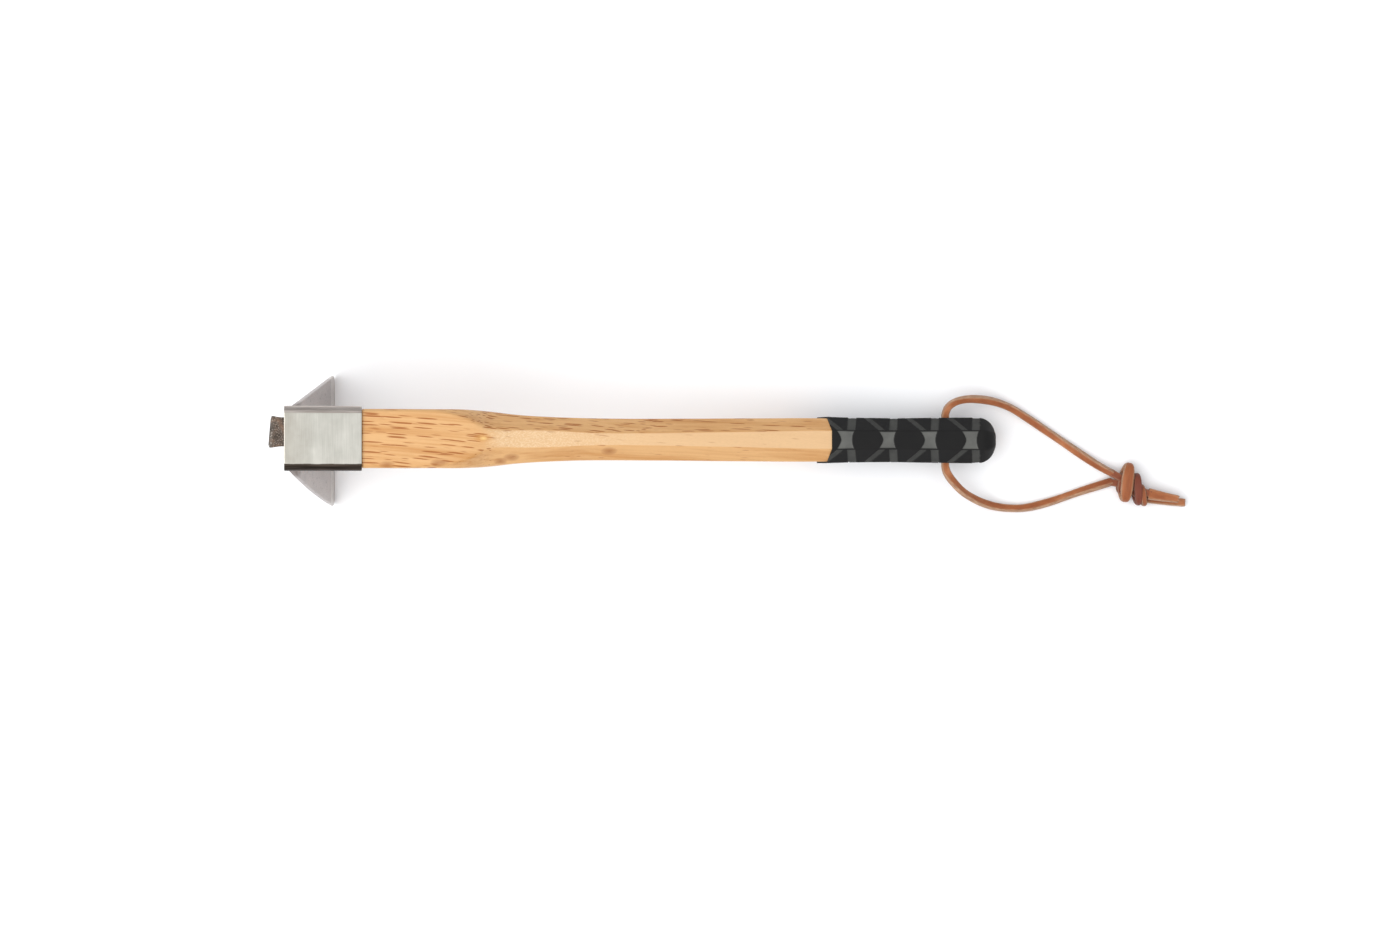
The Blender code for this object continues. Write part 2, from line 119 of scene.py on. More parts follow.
class Surface:
    """A new material with its Principled shader, and the tree that its pattern is drawn in."""

    def __init__(self, name: str, **shader: float) -> None:
        """Make the material.

        Args:
            name: real material and process, in plain words.
            shader: values for the shader's own sockets, with underscores for spaces.
        """
        self.material = bpy.data.materials.new(name)
        self.material.use_nodes = True
        self.tree = self.material.node_tree
        self.shader = self.tree.nodes["Principled BSDF"]
        for key, value in shader.items():
            socket = key.replace("_", " ").title().replace("Ior", "IOR")
            self.shader.inputs[socket].default_value = value

    def add(self, kind: str, inputs: dict | None = None, out: int | str = 0,
            stops: list[tuple[float, str | float]] | None = None,
            **settings: str | float | bool) -> bpy.types.NodeSocket:
        """Add a node to this material's tree, as the function of the same name does."""
        return add(self.tree, kind, inputs, out, stops, **settings)

    def millimetres(self, tool: ToolFrame | None = None) -> bpy.types.NodeSocket:
        """Give coordinates in millimetres.

        Args:
            tool: frame to measure in; the row frame without one.

        Returns:
            A vector output, one unit for each millimetre.
        """
        spot = self.add("TexCoord", out="Object")
        if tool is not None:
            inverse = tool.matrix.inverted()
            spot = self.add("Mapping", {"Vector": spot, "Location": inverse.to_translation(),
                                        "Rotation": inverse.to_euler()})
        return self.add("VectorMath", {0: spot, "Scale": 1 / MM}, operation="SCALE")

    def clouds(self, spot: bpy.types.NodeSocket, size: tuple[float, float, float],
               detail: float = 3.0) -> bpy.types.NodeSocket:
        """Draw an uneven pattern whose features have a real size.

        Args:
            spot: coordinates in millimetres.
            size: size of the features along each axis, in millimetres.
            detail: how much finer the finest features are.

        Returns:
            A share between 0 and 1.
        """
        per_unit = tuple(1 / side for side in size)
        scaled = self.add("VectorMath", {0: spot, 1: per_unit}, operation="MULTIPLY")
        return self.add("TexNoise", {"Vector": scaled, "Scale": 1.0, "Detail": detail})

    def dress(self, colour: bpy.types.NodeSocket, roughness: bpy.types.NodeSocket,
              reliefs: list[tuple[bpy.types.NodeSocket, float]],
              metallic: bpy.types.NodeSocket | None = None) -> bpy.types.Material:
        """Lead the drawn patterns into the shader.

        Args:
            colour: base colour.
            roughness: roughness.
            reliefs: height pattern and its depth in metres, for each relief.
            metallic: share of bare metal, where it varies.

        Returns:
            The finished material.
        """
        normal = None
        for height, depth in reliefs:
            inputs = {"Height": height, "Distance": depth}
            if normal is not None:
                inputs["Normal"] = normal
            normal = self.add("Bump", inputs)
        for name, socket in (("Base Color", colour), ("Roughness", roughness), ("Normal", normal),
                             ("Metallic", metallic)):
            if socket is not None:
                self.tree.links.new(socket, self.shader.inputs[name])
        return self.material


# ------------------------------------------------------------------ the hammer's own frame

@dataclass(frozen=True)
class ToolFrame:
    """The hammer's tilted frame: X from the collar's mouth to the butt, Z away from the blade."""

    matrix: Matrix

    @classmethod
    def from_frame(cls) -> ToolFrame:
        """Find the tilt from the collar's top mount and the origin from the collar's solid.

        Returns:
            The hammer's frame, with its origin in the middle of the collar's mouth.
        """
        mount = next(m for m in frame["record"]["mounts"] if m["name"] == "collar_top")
        up = Vector(mount["axis"]).normalized()
        along = Vector((up.z, 0.0, -up.x))
        turn = Matrix((along, up.cross(along), up)).transposed().to_4x4()
        low, high = cls(turn).extent("collar")
        start = turn @ Vector((low.x, (low.y + high.y) / 2, (low.z + high.z) / 2))
        return cls(Matrix.Translation(start) @ turn)

    def extent(self, node: str) -> tuple[Vector, Vector]:
        """Measure a CAD node in this frame.

        Args:
            node: name of the node.

        Returns:
            Its lowest and its highest corner.
        """
        inverse = self.matrix.inverted()
        spots = [inverse @ v.co for v in frame["nodes"][node].data.vertices]
        return (Vector([min(s[i] for s in spots) for i in range(3)]),
                Vector([max(s[i] for s in spots) for i in range(3)]))

    def to_row(self, points: np.ndarray) -> np.ndarray:
        """Turn points of this frame into the row frame.

        Args:
            points: points with their coordinates last.

        Returns:
            The same points in the row frame.
        """
        turn = np.array(self.matrix.to_3x3())
        return points @ turn.T + np.array(self.matrix.to_translation())


# ------------------------------------------------------------------ mesh helpers

def skin(name: str, rings: np.ndarray, endless: bool = False) -> bpy.types.Object:
    """Skin a row of rings.

    Args:
        name: name of the new object.
        rings: array of rings, points and coordinates.
        endless: True to close the row on its first ring, False to cap both ends.

    Returns:
        The new object, faces pointing out.
    """
    body = bmesh.new()
    add_rings(body, rings, endless)
    return finish_mesh(name, body)


def add_rings(body: bmesh.types.BMesh, rings: np.ndarray, endless: bool) -> None:
    """Skin a row of rings into a mesh that may hold others.

    Args:
        body: mesh that takes the skin.
        rings: array of rings, points and coordinates.
        endless: True to close the row on its first ring, False to cap both ends.
    """
    count, size = rings.shape[:2]
    verts = [[body.verts.new(point) for point in ring] for ring in rings]
    for r in range(count if endless else count - 1):
        first, second = verts[r], verts[(r + 1) % count]
        for i in range(size):
            j = (i + 1) % size
            body.faces.new((first[i], first[j], second[j], second[i]))
    if not endless:
        body.faces.new(verts[0])
        body.faces.new(verts[-1])


def shade(data: bpy.types.Mesh) -> None:
    """Shade a mesh smooth except across its sharp edges."""
    data.shade_smooth()
    data.set_sharp_from_angle(angle=CREASE)


def finish_mesh(name: str, body: bmesh.types.BMesh) -> bpy.types.Object:
    """Turn a bmesh into a smooth-shaded object whose sharp edges stay sharp.

    Args:
        name: name of the new object.
        body: mesh, freed here.

    Returns:
        The new object.
    """
    bmesh.ops.recalc_face_normals(body, faces=body.faces)
    data = bpy.data.meshes.new(name)
    body.to_mesh(data)
    body.free()
    obj = bpy.data.objects.new(name, data)
    bpy.context.collection.objects.link(obj)
    shade(data)
    return obj


def store(obj: bpy.types.Object, name: str, values: np.ndarray) -> None:
    """Store one number, or one vector, for each point of an object's mesh.

    Args:
        obj: the object.
        name: name that its finish reads.
        values: the numbers, or vectors in the last axis of three.
    """
    flat = np.asarray(values, dtype=np.float32).ravel()
    if len(flat) == len(obj.data.vertices):
        obj.data.attributes.new(name, "FLOAT", "POINT").data.foreach_set("value", flat)
    else:
        obj.data.attributes.new(name, "FLOAT_VECTOR", "POINT").data.foreach_set("vector", flat)


def carve(obj: bpy.types.Object, cutters: list[bpy.types.Object]) -> None:
    """Subtract cutters from an object, apply the result and delete the cutters.

    Args:
        obj: the object, whose mesh is exchanged.
        cutters: closed objects to subtract.
    """
    for cutter in cutters:
        boolean = obj.modifiers.new("carve", "BOOLEAN")
        boolean.object = cutter
        boolean.operation = "DIFFERENCE"
    graph = bpy.context.evaluated_depsgraph_get()
    data = bpy.data.meshes.new_from_object(obj.evaluated_get(graph))
    obj.modifiers.clear()
    obj.data = data
    shade(data)
    for cutter in cutters:
        bpy.data.objects.remove(cutter, do_unlink=True)


def rounded_polygon(corners: list[tuple[float, float]], radius: float, steps: int = 4,
                    support: float = 0.3) -> np.ndarray:
    """Outline of a convex polygon with rounded corners and support points along its sides.

    Args:
        corners: corner points in order, in metres.
        radius: corner radius in metres.
        steps: points on each corner's arc.
        support: distance of the support points from an arc's end, as a share of the side.

    Returns:
        Points of the outline, one row each.
    """
    points = []
    count = len(corners)
    for i in range(count):
        here = Vector(corners[i])
        back = Vector(corners[i - 1]) - here
        ahead = Vector(corners[(i + 1) % count]) - here
        half = back.angle(ahead) / 2
        reach = min(radius / math.tan(half), SIDE_SHARE * back.length, SIDE_SHARE * ahead.length)
        bend = reach * math.tan(half)
        inward = (back.normalized() + ahead.normalized()).normalized()
        middle = here + inward * (bend / math.sin(half))
        start = here + back.normalized() * reach - middle
        end = here + ahead.normalized() * reach - middle
        for k in range(steps):
            part = k / (steps - 1)
            points.append(middle + (start * (1 - part) + end * part).normalized() * bend)
        side = ahead.length - 2 * reach
        for share in (support, 1 - support):
            points.append(here + ahead.normalized() * (reach + side * share))
    return np.array([tuple(p) for p in points])


def ring_at(x: float, outline: np.ndarray) -> np.ndarray:
    """Put an outline in the plane across the handle.

    Args:
        x: place along the handle.
        outline: points of the outline, one row each.

    Returns:
        The outline's points with three coordinates.
    """
    return np.column_stack([np.full(len(outline), x), outline])


def smooth(values: np.ndarray | float) -> np.ndarray | float:
    """Smooth step of a value that runs from 0 to 1."""
    part = np.clip(values, 0.0, 1.0)
    return part * part * (3.0 - 2.0 * part)


def waver(points: np.ndarray, size: float, amount: float, seed: float = 0.0) -> np.ndarray:
    """Push points about by smooth noise.

    Args:
        points: points of any array shape, with coordinates last.
        size: size of the noise's features in metres.
        amount: largest push in metres.
        seed: shift of the noise.

    Returns:
        The pushed points.
    """
    flat = points.reshape(-1, 3)
    shift = Vector((seed, seed * 1.7, -seed))
    pushed = [p + np.array(noise.noise_vector(Vector(p) / size + shift)) * amount for p in flat]
    return np.array(pushed).reshape(points.shape)


# ------------------------------------------------------------------ metal finishes

@dataclass(frozen=True)
class BrushedStainless:
    """Stainless tube, brushed across its length on its flats and left as rolled at its corners.

    The eye sees a satin grey with fine streaks, and darker, browner long edges with a crisp line
    where the brush stopped. The tones of the long edges are painted reflection: pale and streaky on
    one side, dark brown on the other, darkest in the line next to the brushed flat.
    """

    light: str = "bdbbb3"
    shade: str = "acaaa2"
    # painted reflection on the rounded long edges: a pale, streaky tone on the +Y side, a dark brown one on the -Y
    # side
    corner_left_reflection: str = "a89e97"
    corner_left_pale_reflection: str = "cbc3bc"
    corner_right_reflection: str = "342d27"
    corner_right_pale_reflection: str = "524840"
    scuff: str = "8f8679"
    # painted reflection: the dark line along the edge of the brushed flat
    line: str = "4a413a"
    flat_half_width: float = 13.1      # how far the brush reached across and up, mm
    flat_half_depth: float = 16.9
    handled_reach: float = 22.0        # how far from the mouth it is stained by handling, mm
    streak: float = 0.35               # about twice a real brush's, so that it shows
    streak_relief: float = 0.012
    roughness: float = 0.28
    handled_share: float = 0.5
    line_strength: float = 0.55

    def make(self, tool: ToolFrame) -> bpy.types.Material:
        """Build the material.

        Args:
            tool: frame that the brush marks lie in.

        Returns:
            The material.
        """
        steel = Surface("stainless steel tube, brushed", metallic=1.0)
        spot = steel.millimetres(tool)
        streaks = steel.clouds(spot, (self.streak, 14.0, 14.0))
        scuffs = steel.clouds(spot, (5.0, 0.5, 0.5), 4.0)
        base_noise = steel.clouds(spot, (9.0, 12.0, 12.0))
        base = steel.add("ValToRGB", {0: base_noise},
                         stops=[(0.3, self.shade), (0.7, self.light)])
        dark = steel.add("ValToRGB", {0: streaks}, stops=[(0.25, 0.86), (0.65, 1.0)])
        colour = steel.add("Mix", {SHARE: 1.0, UNDER: base, OVER: dark}, MIXED,
                           data_type="RGBA", blend_type="MULTIPLY")
        marks = steel.add("ValToRGB", {0: scuffs}, stops=[(0.66, 0.0), (0.76, 0.3)])
        along = steel.add("SeparateXYZ", {0: spot}, "X")
        handled = steel.add("Math", {0: base_noise, 1: 14.0, 2: along}, operation="MULTIPLY_ADD")
        handled = steel.add("Math", {0: handled, 1: -1 / self.handled_reach, 2: 1.0},
                            operation="MULTIPLY_ADD", use_clamp=True)
        marks = steel.add("Math", {0: handled, 1: self.handled_share, 2: marks},
                          operation="MULTIPLY_ADD")
        colour = steel.add("Mix", {SHARE: marks, UNDER: colour, OVER: self.scuff}, MIXED,
                           data_type="RGBA")
        past = self.past_brush(steel, spot)
        corner = steel.add("Math", {0: past, 1: 2.6}, operation="MULTIPLY", use_clamp=True)
        rolled = self.painted_corner_reflection(steel, spot, past)
        # past the brushed flats the colour is the painted reflection of the rounded edges
        colour = steel.add("Mix", {SHARE: corner, UNDER: colour, OVER: rolled}, MIXED,
                           data_type="RGBA")
        rough = steel.add("Math", {0: streaks, 1: 0.16, 2: self.roughness},
                          operation="MULTIPLY_ADD")
        rough = steel.add("Math", {0: corner, 1: 0.12, 2: rough}, operation="MULTIPLY_ADD")
        return steel.dress(colour, rough, [(streaks, self.streak_relief * MM)])

    def past_brush(self, steel: Surface, spot: bpy.types.NodeSocket) -> bpy.types.NodeSocket:
        """Measure how far a point lies past the brushed flats.

        Args:
            steel: surface that it is drawn on.
            spot: coordinates in the tool's frame.

        Returns:
            The distance in millimetres, negative on the flats, with a ragged border.
        """
        axes = steel.add("SeparateXYZ", {0: spot}).node
        across = steel.add("Math", {0: axes.outputs["Y"]}, operation="ABSOLUTE")
        across = steel.add("Math", {0: across, 1: self.flat_half_width}, operation="SUBTRACT")
        up = steel.add("Math", {0: axes.outputs["Z"]}, operation="ABSOLUTE")
        up = steel.add("Math", {0: up, 1: self.flat_half_depth - 3.0}, operation="SUBTRACT")
        least = steel.add("Math", {0: across, 1: up}, operation="MINIMUM")
        wander = steel.clouds(spot, (7.0, 2.0, 2.0))
        return steel.add("Math", {0: wander, 1: 0.9, 2: least}, operation="MULTIPLY_ADD")

    def painted_corner_reflection(self, steel: Surface, spot: bpy.types.NodeSocket,
                      past: bpy.types.NodeSocket) -> bpy.types.NodeSocket:
        """Paint the reflection on the unbrushed corners: streaky, paler on one side, with a darker line along the
        brushed flat.

        Args:
            steel: surface that it is drawn on.
            spot: coordinates in the tool's frame.
            past: distance past the brushed flats in millimetres.

        Returns:
            The colour.
        """
        side = steel.add("SeparateXYZ", {0: spot}, "Y")
        side = steel.add("Math", {0: side, 1: 0.5, 2: 0.5}, operation="MULTIPLY_ADD",
                         use_clamp=True)
        # painted reflection: each long edge gets its own tone, pale on one side and dark on the other
        full, pale = (
            steel.add("Mix", {SHARE: side, UNDER: right, OVER: left}, MIXED, data_type="RGBA")
            for right, left in ((self.corner_right_reflection, self.corner_left_reflection),
                                (self.corner_right_pale_reflection, self.corner_left_pale_reflection)))
        streaky = steel.add("ValToRGB", {0: steel.clouds(spot, (16.0, 0.7, 0.7))},
                            stops=[(0.42, 0.0), (0.66, 0.8)])
        rolled = steel.add("Mix", {SHARE: streaky, UNDER: full, OVER: pale}, MIXED,
                           data_type="RGBA")
        # painted reflection: a darker line next to the brushed flat
        near = steel.add("Math", {0: 1.0, 1: past}, operation="SUBTRACT", use_clamp=True)
        near = steel.add("Math", {0: near, 1: self.line_strength}, operation="MULTIPLY")
        return steel.add("Mix", {SHARE: near, UNDER: rolled, OVER: self.line}, MIXED,
                         data_type="RGBA")


@dataclass(frozen=True)
class GroundPlate:
    """Steel plate ground by hand.

    The eye sees a dull lilac grey with grind lines down the plate, a paler ground bevel, a few
    stains, and brown heat marks near the welds.
    """

    face: str = "b3adab"
    clean: str = "c3bdba"
    bright: str = "d8d4d0"
    stain: str = "746c67"
    heat: str = "5c4c43"
    grind_line: float = 0.4            # mm, about twice a real disc's, so that it shows
    weld_depth: float = 27.0           # how far under the handle's axis the heat marks reach, mm
    weld_fade: float = 6.0
    heat_strength: float = 0.6
    ground_strength: float = 0.7
    pit_relief: float = 0.03
    line_relief: float = 0.02

    def make(self, tool: ToolFrame, bevel_depth: float) -> bpy.types.Material:
        """Build the material.

        Args:
            tool: frame of the hammer.
            bevel_depth: depth under the handle's axis where the ground bevel starts, in mm.

        Returns:
            The material.
        """
        steel = Surface("steel plate, hand ground", metallic=1.0)
        spot = steel.millimetres(tool)
        lines = steel.clouds(spot, (self.grind_line, self.grind_line, 12.0), 4.0)
        broad = steel.clouds(spot, (14.0, 14.0, 14.0), 4.0)
        spots = steel.clouds(spot, (2.2, 2.2, 2.2), 5.0)
        colour = steel.add("ValToRGB", {0: broad}, stops=[(0.35, self.face), (0.72, self.clean)])
        stained = steel.add("ValToRGB", {0: spots}, stops=[(0.62, 0.0), (0.74, 0.5)])
        colour = steel.add("Mix", {SHARE: stained, UNDER: colour, OVER: self.stain}, MIXED,
                           data_type="RGBA")
        depth = steel.add("SeparateXYZ", {0: spot}, "Z")
        ragged = steel.add("Math", {0: broad, 1: 2.4, 2: depth}, operation="MULTIPLY_ADD")
        ground = steel.add("Math", {0: 1.2 - bevel_depth, 1: ragged}, operation="SUBTRACT",
                           use_clamp=True)
        ground = steel.add("Math", {0: ground, 1: self.ground_strength}, operation="MULTIPLY")
        colour = steel.add("Mix", {SHARE: ground, UNDER: colour, OVER: self.bright}, MIXED,
                           data_type="RGBA")
        dark = steel.add("ValToRGB", {0: lines}, stops=[(0.3, 0.82), (0.7, 1.0)])
        colour = steel.add("Mix", {SHARE: 1.0, UNDER: colour, OVER: dark}, MIXED,
                           data_type="RGBA", blend_type="MULTIPLY")
        near = steel.add("Math", {0: broad, 1: 7.0, 2: depth}, operation="MULTIPLY_ADD")
        near = steel.add("Math", {0: near, 1: self.weld_depth}, operation="ADD")
        near = steel.add("Math", {0: near, 1: self.weld_fade}, operation="DIVIDE", use_clamp=True)
        near = steel.add("Math", {0: near, 1: self.heat_strength}, operation="MULTIPLY")
        colour = steel.add("Mix", {SHARE: near, UNDER: colour, OVER: self.heat}, MIXED,
                           data_type="RGBA")
        rough = steel.add("Math", {0: broad, 1: 0.25, 2: 0.3}, operation="MULTIPLY_ADD")
        return steel.dress(colour, rough, [(spots, self.pit_relief * MM),
                                           (lines, self.line_relief * MM)])


@dataclass(frozen=True)
class DarkIron:
    """Hot-worked iron.

    The eye sees brown-black scale, some rust, and bright spots where the scale is knocked off.
    """

    name: str
    scale: str = "443d37"
    worn: str = "5c534c"
    rust: str = "786251"
    rubbed: str = "b7afa5"
    grain: float = 1.6                 # mm, size of the flakes of scale
    flake_relief: float = 0.25
    chip_relief: float = 0.12

    def make(self, tool: ToolFrame) -> bpy.types.Material:
        """Build the material.

        Args:
            tool: frame of the hammer.

        Returns:
            The material.
        """
        iron = Surface(self.name)
        spot = iron.millimetres(tool)
        coarse = iron.clouds(spot, (self.grain * 2.2,) * 3, 4.0)
        fine = iron.clouds(spot, (self.grain * 0.4,) * 3, 4.0)
        colour = iron.add("ValToRGB", {0: coarse},
                          stops=[(0.34, self.scale), (0.7, self.rust), (0.52, self.worn)])
        bare = iron.add("ValToRGB", {0: fine}, stops=[(0.54, 0.0), (0.68, 0.7)])
        colour = iron.add("Mix", {SHARE: bare, UNDER: colour, OVER: self.rubbed}, MIXED,
                          data_type="RGBA")
        metal = iron.add("Math", {0: bare, 1: 0.6, 2: 0.4}, operation="MULTIPLY_ADD")
        rough = iron.add("Math", {0: bare, 1: -0.2, 2: 0.6}, operation="MULTIPLY_ADD")
        return iron.dress(colour, rough, [(coarse, self.flake_relief * MM),
                                          (fine, self.chip_relief * MM)], metal)


# ------------------------------------------------------------------ wood, rubber and leather

@dataclass(frozen=True)
class KnotAndGlint:
    """A small spot in the wood, a brown knot or resin spot, and in one case a pale painted highlight on the
    varnish: place in the tool's frame and size, in mm.
    """

    place: tuple[float, float, float]
    reach: float
    colour: str = "8d4a0c"
    strength: float = 0.68
    stretch: tuple[float, float, float] = (0.5, 1.0, 0.25)   # longer along the grain, and deep
    falloff: float = 0.7


@dataclass(frozen=True)
class VarnishedBeech:
    """Beech, planed and varnished.

    The eye sees honey-coloured wood with soft bands along the grain, short brown ray flecks, a
    planed facet on top that is painted paler, with paler flecks, as a painted sheen where the
    varnish reflects the light, and a faint gloss from the varnish.
    """

    name: str
    light: str = "d9a972"
    dark: str = "c58d52"
    # painted sheen: the paler colour that the top facet is mixed towards
    planed: str = "dcb689"
    torn_grain: str = "ebcfa8"
    torn_end: float = 195.0            # where the roughly planed stretch has faded out, mm
    torn_fade: float = 60.0
    fleck: str = "9a5416"
    # paler flecks under the painted sheen on the top facet
    sheen_fleck: str = "bd9066"
    cell: tuple[float, float, float] = (15.0, 1.0, 1.0)   # mm, the room that each fleck has
    lean: float = 0.07                 # slope of the grain against the handle
    wander: float = 9.0                # mm, how far the grain strays sideways
    sheen_strength: float = 0.85
    fleck_strength: float = 0.85
    fleck_relief: float = 0.05
    pore_relief: float = 0.025
    coat: float = 0.13
    knots_and_glint: tuple[KnotAndGlint, ...] = ()

    def make(self, tool: ToolFrame) -> bpy.types.Material:
        """Build the material.

        Args:
            tool: frame that the grain runs along.

        Returns:
            The material; it reads how far each point is on the facet with the painted sheen and on the quiet
            facets.
        """
        wood = Surface(self.name, coat_weight=self.coat, coat_roughness=0.22,
                       specular_ior_level=0.32)
        spot = wood.millimetres(tool)
        drift = self.grain_place(wood, spot)
        top = wood.add("Attribute", out="Fac", attribute_name="sheen_facet")
        quiet = wood.add("Attribute", out="Fac", attribute_name="quiet_facet")
        wide = wood.clouds(drift, (120.0, 5.0, 5.0), 2.0)
        streaks = wood.clouds(drift, (60.0, 1.3, 1.3), 4.0)
        bands = wood.add("Mix", {0: 0.45, 2: wide, 3: streaks}, data_type="FLOAT")
        colour = wood.add("ValToRGB", {0: bands}, stops=[(0.34, self.dark), (0.56, self.light)])
        # painted sheen: the top facet is mixed towards a paler colour where the varnish would reflect the light
        pale = wood.add("Math", {0: top, 1: self.sheen_strength}, operation="MULTIPLY")
        colour = wood.add("Mix", {SHARE: pale, UNDER: colour, OVER: self.planed}, MIXED,
                          data_type="RGBA")
        torn = wood.add("ValToRGB", {0: wood.clouds(spot, (1.0, 0.55, 0.55), 2.0)},
                        stops=[(0.46, 0.0), (0.6, 0.5)])
        along = wood.add("SeparateXYZ", {0: spot}, "X")
        fade = wood.add("Math", {0: self.torn_end, 1: along}, operation="SUBTRACT")
        fade = wood.add("Math", {0: fade, 1: self.torn_fade}, operation="DIVIDE", use_clamp=True)
        torn = wood.add("Math", {0: torn, 1: top}, operation="MULTIPLY")
        torn = wood.add("Math", {0: torn, 1: fade}, operation="MULTIPLY")
        colour = wood.add("Mix", {SHARE: torn, UNDER: colour, OVER: self.torn_grain}, MIXED,
                          data_type="RGBA")
        flecks = self.flecks(wood, drift, top, quiet)
        # the flecks on the top facet are paler under the painted sheen
        tone = wood.add("Mix", {SHARE: top, UNDER: self.fleck, OVER: self.sheen_fleck}, MIXED,
                        data_type="RGBA")
        strength = wood.add("Math", {0: flecks, 1: self.fleck_strength}, operation="MULTIPLY")
        colour = wood.add("Mix", {SHARE: strength, UNDER: colour, OVER: tone}, MIXED,
                          data_type="RGBA")
        for knot in self.knots_and_glint:
            colour = self.with_spot(wood, spot, colour, knot)
        pores = wood.clouds(drift, (2.4, 0.16, 0.16), 2.0)
        dust = wood.add("ValToRGB", {0: pores}, stops=[(0.3, 0.92), (0.6, 1.0)])
        colour = wood.add("Mix", {SHARE: 1.0, UNDER: colour, OVER: dust}, MIXED,
                          data_type="RGBA", blend_type="MULTIPLY")
        rough = wood.add("Math", {0: streaks, 1: 0.2, 2: 0.34}, operation="MULTIPLY_ADD")
        raised = wood.add("Math", {0: 1.0, 1: flecks}, operation="SUBTRACT")
        return wood.dress(colour, rough, [(raised, self.fleck_relief * MM),
                                          (pores, self.pore_relief * MM)])

    def grain_place(self, wood: Surface, spot: bpy.types.NodeSocket) -> bpy.types.NodeSocket:
        """Make coordinates follow the grain as it wanders and leans across the handle.

        Args:
            wood: surface that they are for.
            spot: coordinates in the tool's frame.

        Returns:
            Coordinates along the grain, in millimetres.
        """
        scaled = wood.add("VectorMath", {0: spot, 1: (1 / 90, 1 / 40, 1 / 40)},
                          operation="MULTIPLY")
        wander = wood.add("TexNoise", {"Vector": scaled, "Scale": 1.0, "Detail": 1.0}, "Color")
        wander = wood.add("VectorMath", {0: wander, 1: (0.0, self.wander, self.wander), 2: spot},
                          operation="MULTIPLY_ADD")
        along = wood.add("SeparateXYZ", {0: spot}, "X")
        leaning = wood.add("CombineXYZ", {"Y": wood.add("Math", {0: along, 1: self.lean},
                                                        operation="MULTIPLY")})
        return wood.add("VectorMath", {0: wander, 1: leaning}, operation="ADD")

    def flecks(self, wood: Surface, drift: bpy.types.NodeSocket, top: bpy.types.NodeSocket,
               quiet: bpy.types.NodeSocket) -> bpy.types.NodeSocket:
        """Short ray flecks scattered along the grain, fewer where the wood is cut quiet.

        Args:
            wood: surface that they are drawn on.
            drift: coordinates along the grain.
            top: share of the facet with the painted sheen.
            quiet: share of the facets with few flecks.

        Returns:
            1 inside a fleck, 0 outside.
        """
        bend = wood.add("VectorMath", {0: drift, 1: (1 / 16, 1 / 4, 1 / 4)}, operation="MULTIPLY")
        bend = wood.add("TexNoise", {"Vector": bend, "Scale": 1.0}, "Color")
        bent = wood.add("VectorMath", {0: bend, 1: (0.0, 0.8, 0.8), 2: drift},
                        operation="MULTIPLY_ADD")
        cells = wood.add("VectorMath", {0: bent, 1: tuple(1 / side for side in self.cell)},
                         operation="MULTIPLY")
        far = wood.add("TexVoronoi", {"Vector": cells, "Scale": 1.0}, "Distance")
        lot = wood.add("SeparateXYZ", {0: far.node.outputs["Color"]}, "X")
        reach = wood.add("Math", {0: lot, 1: 0.24, 2: 0.06}, operation="MULTIPLY_ADD")
        patches = wood.clouds(drift, (30.0, 7.0, 7.0), 1.0)
        reach = wood.add("Math", {0: patches, 1: 0.34, 2: reach}, operation="MULTIPLY_ADD")
        reach = wood.add("Math", {0: quiet, 1: -0.24, 2: reach}, operation="MULTIPLY_ADD")
        reach = wood.add("Math", {0: top, 1: -0.19, 2: reach}, operation="MULTIPLY_ADD")
        inside = wood.add("Math", {0: reach, 1: far}, operation="SUBTRACT")
        return wood.add("Math", {0: inside, 1: 9.0}, operation="MULTIPLY", use_clamp=True)

    @staticmethod
    def with_spot(wood: Surface, spot: bpy.types.NodeSocket, colour: bpy.types.NodeSocket,
                  knot: KnotAndGlint) -> bpy.types.NodeSocket:
        """Draw one small spot, a knot or the painted highlight, longer along the grain than across it, over a
        colour.

        Args:
            wood: surface that it is drawn on.
            spot: coordinates in the tool's frame.
            colour: colour under the knot.
            knot: the spot to draw.

        Returns:
            The colour with the spot in it.
        """
        away = wood.add("VectorMath", {0: spot, 1: knot.place}, operation="SUBTRACT")
        away = wood.add("VectorMath", {0: away, 1: knot.stretch}, operation="MULTIPLY")
        far = wood.add("VectorMath", {0: away}, "Value", operation="LENGTH")
        far = wood.add("Math", {0: far, 1: knot.reach}, operation="DIVIDE")
        near = wood.add("Math", {0: 1.0, 1: far}, operation="SUBTRACT", use_clamp=True)
        near = wood.add("Math", {0: near, 1: knot.falloff}, operation="POWER")
        near = wood.add("Math", {0: near, 1: knot.strength}, operation="MULTIPLY")
        return wood.add("Mix", {SHARE: near, UNDER: colour, OVER: knot.colour}, MIXED,
                        data_type="RGBA")


